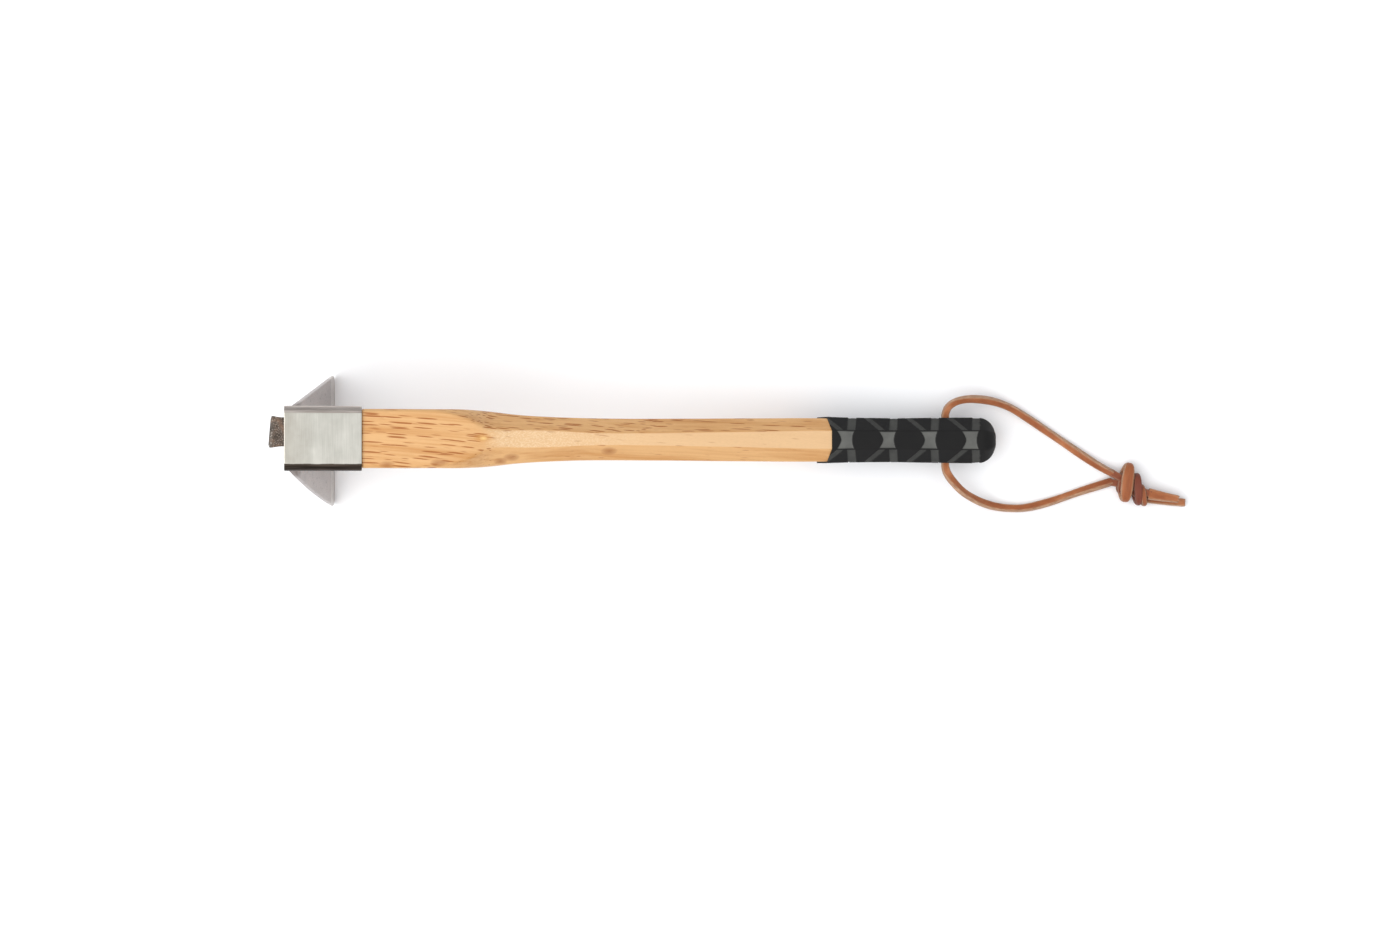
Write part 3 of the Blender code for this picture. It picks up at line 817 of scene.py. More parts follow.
@dataclass(frozen=True)
class ShrunkRubber:
    """Rubber sleeve, moulded and heat shrunk.

    The eye sees black matt raised pads, and smoother dark grey channels between them.
    """

    pad: str = "100f0e"
    pad_shade: str = "0b0a0a"
    channel: str = "62625e"
    channel_shade: str = "545451"
    grain: float = 0.35                # mm, grain of the mould
    relief: float = 0.03

    def make(self) -> bpy.types.Material:
        """Build the material.

        Returns:
            The material; it reads how worn to grey each point is.
        """
        rubber = Surface("black rubber, moulded and heat shrunk", specular_ior_level=0.3)
        spot = rubber.millimetres()
        deep = rubber.add("Attribute", out="Fac", attribute_name="channel")
        broad = rubber.clouds(spot, (7.0, 7.0, 7.0))
        grain = rubber.clouds(spot, (self.grain,) * 3, 2.0)
        pad = rubber.add("ValToRGB", {0: broad}, stops=[(0.3, self.pad_shade), (0.7, self.pad)])
        channel = rubber.add("ValToRGB", {0: broad},
                             stops=[(0.3, self.channel_shade), (0.7, self.channel)])
        colour = rubber.add("Mix", {SHARE: deep, UNDER: pad, OVER: channel}, MIXED,
                            data_type="RGBA")
        rough = rubber.add("Math", {0: deep, 1: -0.16, 2: 0.68}, operation="MULTIPLY_ADD")
        return rubber.dress(colour, rough, [(grain, self.relief * MM)])


@dataclass(frozen=True)
class OiledLeather:
    """Leather lace, cut from the hide and oiled.

    The eye sees an orange-brown grain side with fine creases, paler fibrous cut sides, and a
    dark reddish brown in and near the knot, partly compressed leather and partly painted shade
    between and under its turns.
    """

    grain_dark: str = "965129"
    grain: str = "ab6438"
    grain_pale: str = "c17e53"
    cut: str = "c39b7b"
    cut_dark: str = "9f7050"
    pressed_shade: str = "713022"
    crease: float = 0.55               # mm, from one crease to the next
    crease_relief: float = 0.06
    fibre_relief: float = 0.1

    def make(self) -> bpy.types.Material:
        """Build the material.

        Returns:
            The material; it reads each point's place round and along the lace.
        """
        hide = Surface("leather lace, cut and oiled", specular_ior_level=0.35, sheen_weight=0.15,
                       sheen_roughness=0.4)
        cut_side = hide.add("Attribute", out="Fac", attribute_name="cut_side")
        press_and_shade = hide.add("Attribute", out="Fac", attribute_name="pressed_shade")
        along = hide.add("Attribute", out="Vector", attribute_name="along")
        fibres = hide.clouds(along, (3.0, 0.35, 0.35), 4.0)
        broad = hide.clouds(along, (11.0, 5.0, 5.0))
        creases = hide.add("VectorMath", {0: along, "Scale": 1 / self.crease}, operation="SCALE")
        creases = hide.add("TexVoronoi", {"Vector": creases, "Scale": 1.0}, "Distance",
                           feature="DISTANCE_TO_EDGE")
        creases = hide.add("ValToRGB", {0: creases}, stops=[(0.0, 0.0), (0.12, 1.0)])
        top = hide.add("ValToRGB", {0: broad},
                       stops=[(0.3, self.grain_dark), (0.78, self.grain_pale), (0.55, self.grain)])
        side = hide.add("ValToRGB", {0: fibres}, stops=[(0.3, self.cut_dark), (0.66, self.cut)])
        colour = hide.add("Mix", {SHARE: cut_side, UNDER: top, OVER: side}, MIXED, data_type="RGBA")
        # darker in and near the knot: compressed leather, and painted shade between and under the turns
        colour = hide.add("Mix", {SHARE: press_and_shade, UNDER: colour, OVER: self.pressed_shade}, MIXED,
                          data_type="RGBA")
        worn = hide.add("ValToRGB", {0: fibres}, stops=[(0.3, 0.8), (0.65, 1.0)])
        colour = hide.add("Mix", {SHARE: 1.0, UNDER: colour, OVER: worn}, MIXED,
                          data_type="RGBA", blend_type="MULTIPLY")
        rough = hide.add("Math", {0: cut_side, 1: 0.2, 2: 0.5}, operation="MULTIPLY_ADD")
        return hide.dress(colour, rough, [(fibres, self.fibre_relief * MM),
                                          (creases, self.crease_relief * MM)])


# ------------------------------------------------------------------ pieces

@dataclass
class Assembly:
    """A group of pieces on one body of the frame."""

    tool: ToolFrame
    body: str

    def settle(self, obj: bpy.types.Object, slot: str, material: bpy.types.Material,
               *nodes: str) -> bpy.types.Object:
        """Dress a piece and fix it to the frame.

        Args:
            obj: the piece.
            slot: name of the record's material slot for this piece; not used.
            material: its finish.
            nodes: CAD nodes that it stands for.

        Returns:
            The same piece.
        """
        obj.data.materials.clear()
        obj.data.materials.append(material)
        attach(obj, self.body)
        if nodes:
            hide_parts(*nodes)
        log.info("%s: %d vertices", obj.name, len(getattr(obj.data, "vertices", [])))
        return obj


@dataclass
class Head(Assembly):
    """Collar, blade, weld beads and the iron wedge."""

    wall: float = 1.5 * MM
    corner: float = 4.0 * MM
    rim: float = 0.3 * MM
    blade_neck: float = 1.6 * MM
    blade_thickness: float = 2.5 * MM
    edge_thickness: float = 0.35 * MM
    edge_softness: float = 0.45 * MM
    bevel: float = 12.0 * MM
    blade_rows: int = 14
    tip_radius: float = 4.2 * MM
    tip_rows: int = 12
    bulge: float = 1.5 * MM            # how far the right-hand edge of the fan bows out
    nick_size: float = 4.0 * MM        # wear along the cutting edge: size, depth and reach
    nick_depth: float = 0.12 * MM
    nick_reach: float = 3.0 * MM
    bead_half: float = 14.5 * MM
    bead_rows: int = 150
    bead_run_out: float = 1.5 * MM
    bead_root: float = 0.1 * MM        # how far the bead's corner is sunk into both parts
    ripple: float = 1.7 * MM
    wedge_half: float = 8.15 * MM
    wedge_half_thick: float = 3.15 * MM
    wedge_burr: float = 0.6 * MM       # room that the CAD wedge leaves for the burred end
    wedge_offset: float = 3.5 * MM
    strike_slant: float = 0.08
    strike_reach: float = 3.0 * MM

    def __post_init__(self) -> None:
        """Measure the collar."""
        self.low, self.high = self.tool.extent("collar")

    def build(self) -> None:
        """Make and dress every piece of the head."""
        bevel_depth = -self.tool.extent("blade")[0].z / MM - self.bevel / MM
        plate = GroundPlate().make(self.tool, bevel_depth)
        weld = DarkIron("weld metal, as laid", grain=1.1).make(self.tool)
        forged = DarkIron("wedge iron, hammered").make(self.tool)
        self.settle(self.collar(), "stainless_collar", BrushedStainless().make(self.tool), "collar")
        self.settle(self.blade(), "blade_steel", plate, "blade")
        self.settle(self.bead("front_weld", -1), "weld_metal", weld, "weld_bead_front")
        self.settle(self.bead("rear_weld", 1), "weld_metal", weld, "weld_bead_rear")
        self.settle(self.iron_wedge(), "wedge_steel", forged, "steel_wedge")

    def collar(self) -> bpy.types.Object:
        """Make a rectangular tube with soft long edges and lightly deburred rims.

        Returns:
            The collar.
        """
        length, wall, rim = self.high.x, self.wall, self.rim
        soft = rim * 0.3
        profile = [(rim, 0.0), (rim * 2, 0.0)]
        profile += [(length * k / 8, 0.0) for k in range(1, 8)]
        profile += [(length - rim * 2, 0.0), (length - rim, 0.0), (length - soft, soft),
                    (length, rim), (length, wall - rim), (length - soft, wall - soft),
                    (length - rim, wall), (rim, wall), (soft, wall - soft), (0.0, wall - rim),
                    (0.0, rim), (soft, soft)]
        rings = []
        for x, inset in profile:
            w, d = self.high.y - inset, self.high.z - inset
            corners = [(w, d), (-w, d), (-w, -d), (w, -d)]
            outline = rounded_polygon(corners, self.corner - inset, steps=12, support=0.06)
            rings.append(ring_at(x, outline))
        return skin("eye_collar", self.tool.to_row(np.array(rings)), endless=True)

    def plate_frame(self) -> tuple[np.ndarray, np.ndarray, np.ndarray, float]:
        """Find where the plate lies.

        Returns:
            Top of its outer face, direction down the plate, direction to its inner face, length.
        """
        low, high = self.tool.extent("blade")
        top = np.array((self.blade_neck, 0.0, self.low.z))
        thin = math.radians(90) - math.atan2(-low.z + self.low.z, high.x - self.blade_neck)
        edge = np.array((high.x - self.edge_thickness * math.cos(thin), 0.0, low.z))
        down = edge - top
        length = float(np.linalg.norm(down))
        down = down / length
        return top, down, np.array((-down[2], 0.0, down[0])), length

    def blade(self) -> bpy.types.Object:
        """Make the fan-shaped plate with rounded tips, softened edges and a ground inner bevel.

        Returns:
            The blade.
        """
        top, down, inward, length = self.plate_frame()
        neck, half_width = self.high.y, self.tool.extent("blade")[1].y
        radius = self.tip_radius
        centre = (length - radius, half_width - radius)
        reach = math.hypot(centre[0], centre[1] - neck)
        spread = math.atan2(centre[1] - neck, centre[0]) + math.asin(radius / reach)
        bevel_start = length - self.bevel
        depths = [length * k / self.blade_rows for k in range(self.blade_rows - 2)]
        depths += [bevel_start - 0.3 * MM, bevel_start + 0.3 * MM]
        rows = [(u, neck + math.tan(spread) * u) for u in depths
                if u < length - radius * 2.2 or u > bevel_start - 0.4 * MM]
        for k in range(self.tip_rows + 1):
            angle = (math.pi / 2 + spread) * (1 - k / self.tip_rows)
            rows.append((centre[0] + radius * math.cos(angle),
                         centre[1] + radius * math.sin(angle)))
        rings = []
        for u, half in sorted(set(rows)):
            part = max(0.0, (u - bevel_start) / self.bevel)
            thick = self.blade_thickness + (self.edge_thickness - self.blade_thickness) * part
            outline = rounded_polygon([(half, 0.0), (-half, 0.0), (-half, thick), (half, thick)],
                                      0.4 * thick if part > 0.8 else self.edge_softness,
                                      support=0.02)
            level = (outline[:, 1] * inward[2] / -down[2]) if u == 0.0 else 0.0
            bulge = self.bulge * math.sin(math.pi * min(u / (length - radius), 1.0)) ** 0.8
            outline[:, 0] = np.where(outline[:, 0] < 0, outline[:, 0] - bulge, outline[:, 0])
            rings.append(top + np.outer(np.full(len(outline), u) + level, down)
                         + np.outer(outline[:, 1], inward)
                         + np.outer(outline[:, 0], (0.0, 1.0, 0.0)))
        points = np.array(rings)
        height = points[..., 2:] - points[..., 2].min()
        sound = np.clip(height / self.nick_reach, 0.0, 1.0)
        nicked = waver(points, self.nick_size, self.nick_depth)
        points = points * sound + nicked * (1 - sound)
        return skin("fan_blade", self.tool.to_row(points))

    def bead(self, name: str, side: int) -> bpy.types.Object:
        """Make a fillet weld with overlapping ripples between the collar's underside and the plate.

        Args:
            name: name of the piece.
            side: -1 on the plate's outer face, 1 on its inner face.

        Returns:
            The bead.
        """
        top, down, _, _ = self.plate_frame()
        low, high = self.tool.extent("weld_bead_front" if side < 0 else "weld_bead_rear")
        leg = high.x - low.x
        corner = top if side < 0 else top + np.array((self.blade_thickness / -down[2], 0.0, 0.0))
        along = np.array((float(side), 0.0, 0.0))
        rings = []
        root = np.array((0.0, 0.0, self.bead_root)) - along * self.bead_root
        for y in np.linspace(-self.bead_half, self.bead_half, self.bead_rows):
            ripple = 1.0 + 0.07 * abs(math.sin(math.pi * y / self.ripple))
            swell = 1.0 + 0.1 * noise.noise(Vector((y / (5 * MM), side * 3.1, 0.4)))
            end = smooth((self.bead_half - abs(y)) / self.bead_run_out) * 0.6 + 0.4
            size = leg * 0.94 * ripple * swell * end
            ring = [corner + root]
            for k in range(9):
                angle = math.radians(90) * k / 8
                bulge = along * math.cos(angle) ** 1.3 + down * math.sin(angle) ** 1.3
                ring.append(corner + bulge * size)
            rings.append(np.array(ring) + np.array((0.0, y, 0.0)))
        return skin(name, self.tool.to_row(np.array(rings)))

    def iron_wedge(self) -> bpy.types.Object:
        """Make the flat wedge with a burred, slanted striking end and hammer dents.

        Returns:
            The wedge.
        """
        low, high = self.tool.extent("steel_wedge")
        end, deep = low.x + self.wedge_burr, high.x
        stations = [  # place along the handle, share of the width, share of the thickness
            (end, 0.82, 0.7), (end + 0.25 * MM, 0.95, 0.9), (end + 0.8 * MM, 1.0, 1.0),
            (end + 1.8 * MM, 0.985, 0.97), (end + 3.2 * MM, 0.95, 0.88),
            (end + 5.0 * MM, 0.92, 0.83), (0.0, 0.905, 0.8), (2.0 * MM, 0.9, 0.75),
            (deep - 0.4 * MM, 0.88, 0.2),
        ]
        rings = []
        for x, wide, thick in stations:
            w, t = self.wedge_half * wide, self.wedge_half_thick * thick
            outline = rounded_polygon([(w, t), (-w, t), (-w, -t), (w, -t)], 0.45 * MM, support=0.25)
            ring = ring_at(x, outline)
            slant = self.strike_slant * smooth((self.strike_reach - (x - end)) / self.strike_reach)
            ring[:, 0] += slant * ring[:, 1]
            ring[:, 1] += self.wedge_offset
            rings.append(ring)
        points = waver(np.array(rings), 2.4 * MM, 0.14 * MM, seed=3.0)
        points[..., 0] = np.maximum(points[..., 0], low.x)
        return skin("iron_wedge", self.tool.to_row(points))


# Handle outline: (x, half width, half depth, corner cut) from the shoulder to the butt, in mm
HANDLE_STATIONS = [
    (38.95, 15.1, 18.6, 1.6), (76.0, 15.1, 18.6, 1.6), (91.0, 15.1, 18.4, 4.6),
    (104.0, 14.4, 17.5, 9.5), (119.0, 12.6, 15.8, 8.0), (136.0, 11.6, 14.5, 7.3),
    (158.0, 11.0, 13.6, 7.7), (187.0, 11.0, 13.4, 7.7), (240.0, 11.4, 13.5, 7.2),
    (279.0, 11.7, 13.6, 6.8), (300.0, 11.2, 13.5, 6.6), (325.0, 11.0, 13.4, 6.5),
    (350.0, 11.4, 13.5, 6.7), (370.0, 11.6, 13.6, 6.8),
]


@dataclass
class Haft(Assembly):
    """The wooden handle, its kerf wedge and the rubber sleeve over the grip."""

    tenon_inset: float = 1.55 * MM     # from the collar's outside to the tenon
    tenon_cut: float = 1.2 * MM
    tenon_radius: float = 1.4 * MM
    row_step: float = 2.0              # mm, from one ring of the shaft to the next
    hand_size: float = 30.0 * MM       # unevenness left by shaping by hand: size and depth
    hand_depth: float = 0.12 * MM
    dome: float = 10.0 * MM
    dome_rounding: float = 0.89
    dome_rows: int = 10
    dome_softness: float = 2.4 * MM
    facet_radius: float = 0.9 * MM
    facet_support: float = 0.16
    shoulder_radius: float = 2.0 * MM
    shoulder_end: float = 95.0 * MM
    shoulder_fade: float = 20.0 * MM
    flare: float = 102.0 * MM          # where the chamfers start, rubbed softer than the rest
    flare_reach: float = 22.0 * MM
    flare_softness: float = 4.0 * MM
    # where the painted sheen on the top facet starts, and its fade
    sheen_start: float = 97.0 * MM    # where the planed top facet starts, and its fade
    sheen_fade: float = 14.0 * MM
    quiet_start: float = 70.0 * MM     # the same for the quiet chamfers
    quiet_fade: float = 16.0 * MM
    hole_radius: float = 3.0 * MM
    drill_reach: float = 30.0 * MM
    drill_sides: int = 40
    sleeve_gap: float = 0.9 * MM       # wood to the outside of the sleeve's pads
    channel_depth: float = 0.45 * MM
    channel_rim: float = 0.3 * MM
    pad_bar: float = 0.5 * MM          # half of the plain strip along each edge of the grip
    kerf_half: float = 17.9 * MM
    kerf_depth: float = 33.0 * MM
    kerf_gap: float = 0.12 * MM
    wedge_thick: float = 2.4 * MM
    wedge_taper: float = 1.9 * MM
    iron_offset: float = 3.5 * MM
    slant: float = 2.0 * MM            # how much further the sleeve reaches at mid height
    slant_reach: float = 14.0 * MM
    pitch: float = 23.3 * MM           # from one ring channel of the sleeve to the next
    first_cross: float = 294.4 * MM
    crosses: int = 4
    curl: float = 0.12                 # how far the sleeve's open end bends in, as a share of it
    sleeve_fit: float = 0.05 * MM
    sleeve_step: float = 0.32 * MM     # from one ring of the sleeve to the next
    sleeve_sides: int = 216
    inner_stride: int = 4              # the hidden inner wall is plain, so it needs fewer rings
    opening: float = 0.93              # share of the dome at which the sleeve ends
    dome_lean: float = 0.9             # how far the normal turns to the back at the dome's end
    knot_and_glint_spots: tuple[KnotAndGlint, ...] = (
        KnotAndGlint((115.2, -9.4, 9.5), 2.3), KnotAndGlint((109.7, -11.5, 9.5), 1.9),
        KnotAndGlint((166.5, -6.3, 11.0), 2.3), KnotAndGlint((51.3, -13.4, 17.0), 2.2),
        KnotAndGlint((76.8, -12.5, 17.0), 2.1), KnotAndGlint((80.5, -11.9, 17.0), 1.5, strength=0.5),
        KnotAndGlint((99.8, 0.4, 17.5), 2.6, "bd7a22", 0.65),
        # painted highlight: a small pale spot where the varnish catches the light
        KnotAndGlint((100.2, 0.2, 17.5), 1.1, "efcb85", 0.8),
    )

    def section(self, x: float) -> tuple[float, float, float]:
        """Work out the wood's section, smooth between the stations.

        Args:
            x: place along the handle.

        Returns:
            Half width, half depth and corner cut.
        """
        rows = [tuple(value * MM for value in row) for row in HANDLE_STATIONS]
        i = max(k for k in range(len(rows) - 1) if rows[k][0] <= x or k == 0)
        before, start, end = rows[max(i - 1, 0)], rows[i], rows[i + 1]
        after = rows[min(i + 2, len(rows) - 1)]
        span = end[0] - start[0]
        t = min((x - start[0]) / span, 1.0)
        values = []
        for column in (1, 2, 3):
            slope_in = (end[column] - before[column]) / (end[0] - before[0]) * span
            slope_out = (after[column] - start[column]) / (after[0] - start[0]) * span
            values.append((2 * t ** 3 - 3 * t ** 2 + 1) * start[column]
                          + (t ** 3 - 2 * t ** 2 + t) * slope_in
                          + (3 * t ** 2 - 2 * t ** 3) * end[column]
                          + (t ** 3 - t ** 2) * slope_out)
        return values[0], values[1], values[2]

    @staticmethod
    def octagon(width: float, depth: float, cut: float) -> list[tuple[float, float]]:
        """Cut the corners off a rectangle.

        Args:
            width: half width of the rectangle.
            depth: its half depth.
            cut: how much is cut off along each side.

        Returns:
            The eight corners, starting beside the top facet.
        """
        w, d = width, depth
        return [(cut - w, d), (-w, d - cut), (-w, cut - d), (cut - w, -d), (w - cut, -d),
                (w, cut - d), (w, d - cut), (w - cut, d)]

    def ring(self, x: float, offset: float = 0.0) -> np.ndarray:
        """Make the wood's rounded outline.

        Args:
            x: place along the handle.
            offset: growth of the outline.

        Returns:
            The outline's points.
        """
        width, depth, cut = self.section(x)
        grown = self.octagon(width + offset, depth + offset, cut + offset * CUT_GROWTH)
        on_shoulder = smooth((self.shoulder_end - x) / self.shoulder_fade)
        blunt = self.facet_radius + (self.shoulder_radius - self.facet_radius) * on_shoulder
        blunt += self.flare_softness * smooth(1.0 - abs(x - self.flare) / self.flare_reach)
        return ring_at(x, rounded_polygon(grown, blunt, 5, self.facet_support))

    def dome_ring(self, part: float, offset: float = 0.0) -> np.ndarray:
        """Make a rounded outline on the domed butt.

        Args:
            part: share of the dome, from 0 at its foot to 1 at its flat end.
            offset: growth of the outline.

        Returns:
            The outline's points.
        """
        start = HANDLE_STATIONS[-1][0] * MM
        width, depth, cut = self.section(start)
        shrink = math.sqrt(1 - (self.dome_rounding * part) ** 2)
        grown = self.octagon(width * shrink + offset, depth * shrink + offset,
                             cut * shrink + offset * CUT_GROWTH)
        outline = rounded_polygon(grown, self.facet_radius + self.dome_softness * part, 5,
                                  self.facet_support)
        return ring_at(start + (self.dome + offset) * part, outline)

    def build(self) -> None:
        """Make and dress the handle, its wedge and its sleeve."""
        beech = VarnishedBeech("beech, planed and varnished", knots_and_glint=self.knot_and_glint_spots).make(self.tool)
        offcut = VarnishedBeech("beech offcut, sawn", light="b98d5e", dark="8f6439", fleck="6b4526",
                                coat=0.0).make(self.tool)
        handle = self.settle(self.handle(), "handle_wood", beech, "handle")
        wedge = self.settle(self.kerf_wedge(0.0), "wedge_wood", offcut, "wood_wedge")
        sleeve = self.settle(self.sleeve(), "grip_rubber", ShrunkRubber().make(), "grip_sleeve")
        carve(handle, [self.kerf_wedge(self.kerf_gap), self.iron_slot(),
                       self.drill(self.hole_radius)])
        carve(wedge, [self.iron_slot()])
        carve(sleeve, [self.drill(self.hole_radius + 0.1 * MM)])

    def handle(self) -> bpy.types.Object:
        """Make tenon, shoulder, flared octagonal shaft and domed butt in one skin.

        Returns:
            The handle.
        """
        tenon_low, _ = self.tool.extent("handle")
        shoulder = HANDLE_STATIONS[0][0] * MM
        _, collar_high = self.tool.extent("collar")
        w, d = collar_high.y - self.tenon_inset, collar_high.z - self.tenon_inset
        tenon = rounded_polygon(self.octagon(w, d, self.tenon_cut), self.tenon_radius, 5,
                                self.facet_support)
        rings = [ring_at(x, tenon)
                 for x in (tenon_low.x, tenon_low.x + 1 * MM, 20 * MM, shoulder - 0.2 * MM)]
        inner = self.ring(shoulder)
        inner[:, 1:] *= 0.985
        inner[:, 0] = shoulder - 0.15 * MM
        rings.append(inner)
        xs = [shoulder + 0.35 * MM, shoulder + 1 * MM]
        xs += list(np.arange(42.0, HANDLE_STATIONS[-1][0], self.row_step) * MM)
        body = waver(np.array([self.ring(x) for x in xs]), self.hand_size, self.hand_depth)
        parts = [math.sin(math.radians(90 * k / self.dome_rows)) for k in range(self.dome_rows + 1)]
        butt = np.array([self.dome_ring(part) for part in parts])
        last = butt[-1].copy()
        last[:, 1:] *= 0.5
        points = np.concatenate([np.array(rings), body, butt, last[None]])
        obj = skin("wooden_handle", self.tool.to_row(points))
        self.mark_facets(obj, points)
        return obj

    def mark_facets(self, obj: bpy.types.Object, points: np.ndarray) -> None:
        """Store how far each point is on the top or bottom facet, which carries the painted sheen, and on the
        right-hand chamfers.

        Args:
            obj: the handle.
            points: its rings of points in the tool's frame.
        """
        top, quiet = np.zeros(points.shape[:2]), np.zeros(points.shape[:2])
        for i, ring in enumerate(points):
            x = float(ring[:, 0].mean())
            if x < self.quiet_start:
                continue
            width, _, cut = self.section(min(x, HANDLE_STATIONS[-1][0] * MM))
            facet = width - cut
            start = smooth((x - self.sheen_start) / self.sheen_fade)
            top[i] = smooth((facet + 0.1 * MM - np.abs(ring[:, 1])) / (0.4 * MM)) * start
            shown = smooth((x - self.quiet_start) / self.quiet_fade)
            quiet[i] = (ring[:, 1] < -facet) * shown
        store(obj, "sheen_facet", top)
        store(obj, "quiet_facet", quiet)

    def kerf_wedge(self, grow: float) -> bpy.types.Object:
        """Make the wooden wedge in the tenon, or with growth the kerf that it sits in.

        Args:
            grow: how much wider the kerf is than the wedge.

        Returns:
            The wedge, or the kerf's space.
        """
        start = self.tool.extent("handle")[0].x
        rings = []
        for x in (start - grow * 20, start + self.kerf_depth + grow):
            thick = self.wedge_thick - self.wedge_taper * (x - start) / self.kerf_depth + grow
            half = self.kerf_half + grow * 12
            rings.append([(x, thick, half), (x, -thick, half),
                          (x, -thick, -half), (x, thick, -half)])
        return skin("kerf_wedge", self.tool.to_row(np.array(rings)))

    def iron_slot(self) -> bpy.types.Object:
        """Make the space that the iron wedge takes inside the tenon.

        Returns:
            A cutter.
        """
        rings = []
        stations = ((-4.0, 7.6, 2.9), (22.3, 7.3, 0.8))   # x, half width and half thickness, mm
        for x, width, thick in (tuple(value * MM for value in row) for row in stations):
            outline = [(width, thick), (-width, thick), (-width, -thick), (width, -thick)]
            ring = ring_at(x, np.array(outline))
            ring[:, 1] += self.iron_offset
            rings.append(ring)
        return skin("iron_slot", self.tool.to_row(np.array(rings)))

    def drill(self, radius: float) -> bpy.types.Object:
        """Make a round bar across the grip at the lanyard's hinge.

        Args:
            radius: radius of the bar.

        Returns:
            A cutter.
        """
        hinge = Vector(frame["joints"][0]["pos_m"])
        turns = [math.tau * k / self.drill_sides for k in range(self.drill_sides)]
        circle = [(hinge.x + radius * math.cos(a), hinge.z + radius * math.sin(a)) for a in turns]
        rings = [[(x, y, z) for x, z in circle] for y in (-self.drill_reach, self.drill_reach)]
        return skin("drill", np.array(rings))

    def channel(self, x: np.ndarray, around: np.ndarray, front_half: float,
                quarter: float) -> tuple[np.ndarray, np.ndarray]:
        """How deep in a channel of the sleeve a point lies.

        Each cross has a bar over the top facet with bowed sides, a straight arm down each chamfer
        and side (the ring) and a slanted arm beside it. The figures below are its shape.

        Args:
            x: places along the handle, in metres.
            around: distances round the sleeve from the middle of the top facet, in metres.
            front_half: half width of the top facet.
            quarter: distance from the middle of the top facet to the middle of the side facet.

        Returns:
            0 on a pad to 1 at the bottom of a channel, and how worn to grey the channel is there.
        """
        folded = np.abs(around)
        folded = np.where(folded > quarter, 2 * quarter - folded, folded)
        deep, tone = np.zeros_like(x), np.zeros_like(x)
        share = np.clip(folded / front_half, 0.0, 1.0)
        beyond = folded - front_half
        left = -3.1 * MM - 2.6 * MM * share ** 1.6
        right = 2.8 * MM + 1.2 * MM * share ** 2.0
        ring_middle = 2.3 * MM + 0.27 * beyond
        slant_middle = -3.4 * MM - 0.62 * beyond - 0.012 / MM * beyond ** 2 * 0.35
        for k in range(self.crosses):
            u = x - (self.first_cross + k * self.pitch)
            cross = np.minimum(np.minimum(u - left, right - u), front_half - self.pad_bar - folded)
            ring = np.minimum(2.2 * MM - np.abs(u - ring_middle), beyond - self.pad_bar)
            slant = np.minimum(1.75 * MM - np.abs(u - slant_middle), beyond - self.pad_bar)
            for shape, worn in ((cross, 1.0), (ring, 0.42), (slant, 0.36)):
                depth = smooth(shape / self.channel_rim + 0.5)
                deep, tone = np.maximum(deep, depth), np.maximum(tone, depth * worn)
        return deep, tone

    def sleeve(self) -> bpy.types.Object:
        """Make the shrunk sleeve: pads over channels, curled over the butt with an opening.

        Returns:
            The sleeve.
        """
        low, _ = self.tool.extent("grip_sleeve")
        start, foot = low.x, HANDLE_STATIONS[-1][0] * MM
        xs = np.concatenate([[start, start + 0.12 * MM, start + 0.3 * MM],
                             np.arange(start + 0.6 * MM, foot, self.sleeve_step)])
        parts = [math.sin(math.radians(4 * k)) for k in range(1, 18)] + [self.opening]
        outer = [self.fine_ring(x, None) for x in xs]
        outer += [self.fine_ring(None, part) for part in parts]
        rings, tones = [], []
        for points, normal, around, front_half, quarter in outer:
            deep, tone = self.channel(points[:, 0], around, front_half, quarter)
            rings.append(points - normal * (deep * self.channel_depth)[:, None])
            tones.append(tone)
        rings[0] = rings[0] - outer[0][1] * (self.sleeve_gap * self.curl)
        inner = [ring[0] - ring[1] * (self.sleeve_gap - self.sleeve_fit) for ring in outer[::-1]]
        points = np.array(rings + inner[:-1:self.inner_stride] + inner[-1:])
        height = 1.0 - points[..., 2] / points[..., 2].max()
        near_shaft = np.clip(1 - (points[..., 0] - start) / self.slant_reach, 0, 1)
        points[..., 0] -= self.slant * height * near_shaft
        obj = skin("grip_sleeve_skin", self.tool.to_row(points), endless=True)
        bare = [np.zeros(points.shape[1])] * (len(points) - len(rings))
        store(obj, "channel", np.concatenate(tones + bare))
        return obj

    def fine_ring(self, x: float | None, part: float | None
                  ) -> tuple[np.ndarray, np.ndarray, np.ndarray, float, float]:
        """Divide an outline of the sleeve's outer face evenly, with normals and distances round it.

        Args:
            x: place along the grip, or None on the dome.
            part: share of the dome, or None on the grip.

        Returns:
            Points, outward normals, distances from the middle of the top facet, the top facet's
            half width and the distance to the middle of the side facet.
        """
        on_grip = part is None
        raw = self.ring(x, self.sleeve_gap) if on_grip else self.dome_ring(part, self.sleeve_gap)
        width, _, cut = self.section(x if on_grip else HANDLE_STATIONS[-1][0] * MM)
        shape = np.roll(raw[:, 1:], 1, axis=0)     # from the last support point of the top facet
        middle = np.array((0.0, shape[:, 1].max()))
        loop = np.vstack([middle, shape, middle])
        steps = np.linalg.norm(np.diff(loop, axis=0), axis=1)
        length = np.concatenate([[0.0], np.cumsum(steps)])
        count = self.sleeve_sides
        target = np.linspace(0.0, length[-1], count, endpoint=False)
        outline = np.column_stack([np.interp(target, length, loop[:, i]) for i in (0, 1)])
        tangent = np.roll(outline, -1, axis=0) - np.roll(outline, 1, axis=0)
        normal = np.column_stack([tangent[:, 1], -tangent[:, 0]])
        normal /= np.linalg.norm(normal, axis=1)[:, None]
        if (normal[0] @ middle) < 0:
            normal = -normal
        lean = 0.0 if on_grip else part * self.dome_lean
        full = np.column_stack([np.full(count, lean), normal * math.sqrt(1 - lean ** 2)])
        around = np.where(target > length[-1] / 2, length[-1] - target, target)
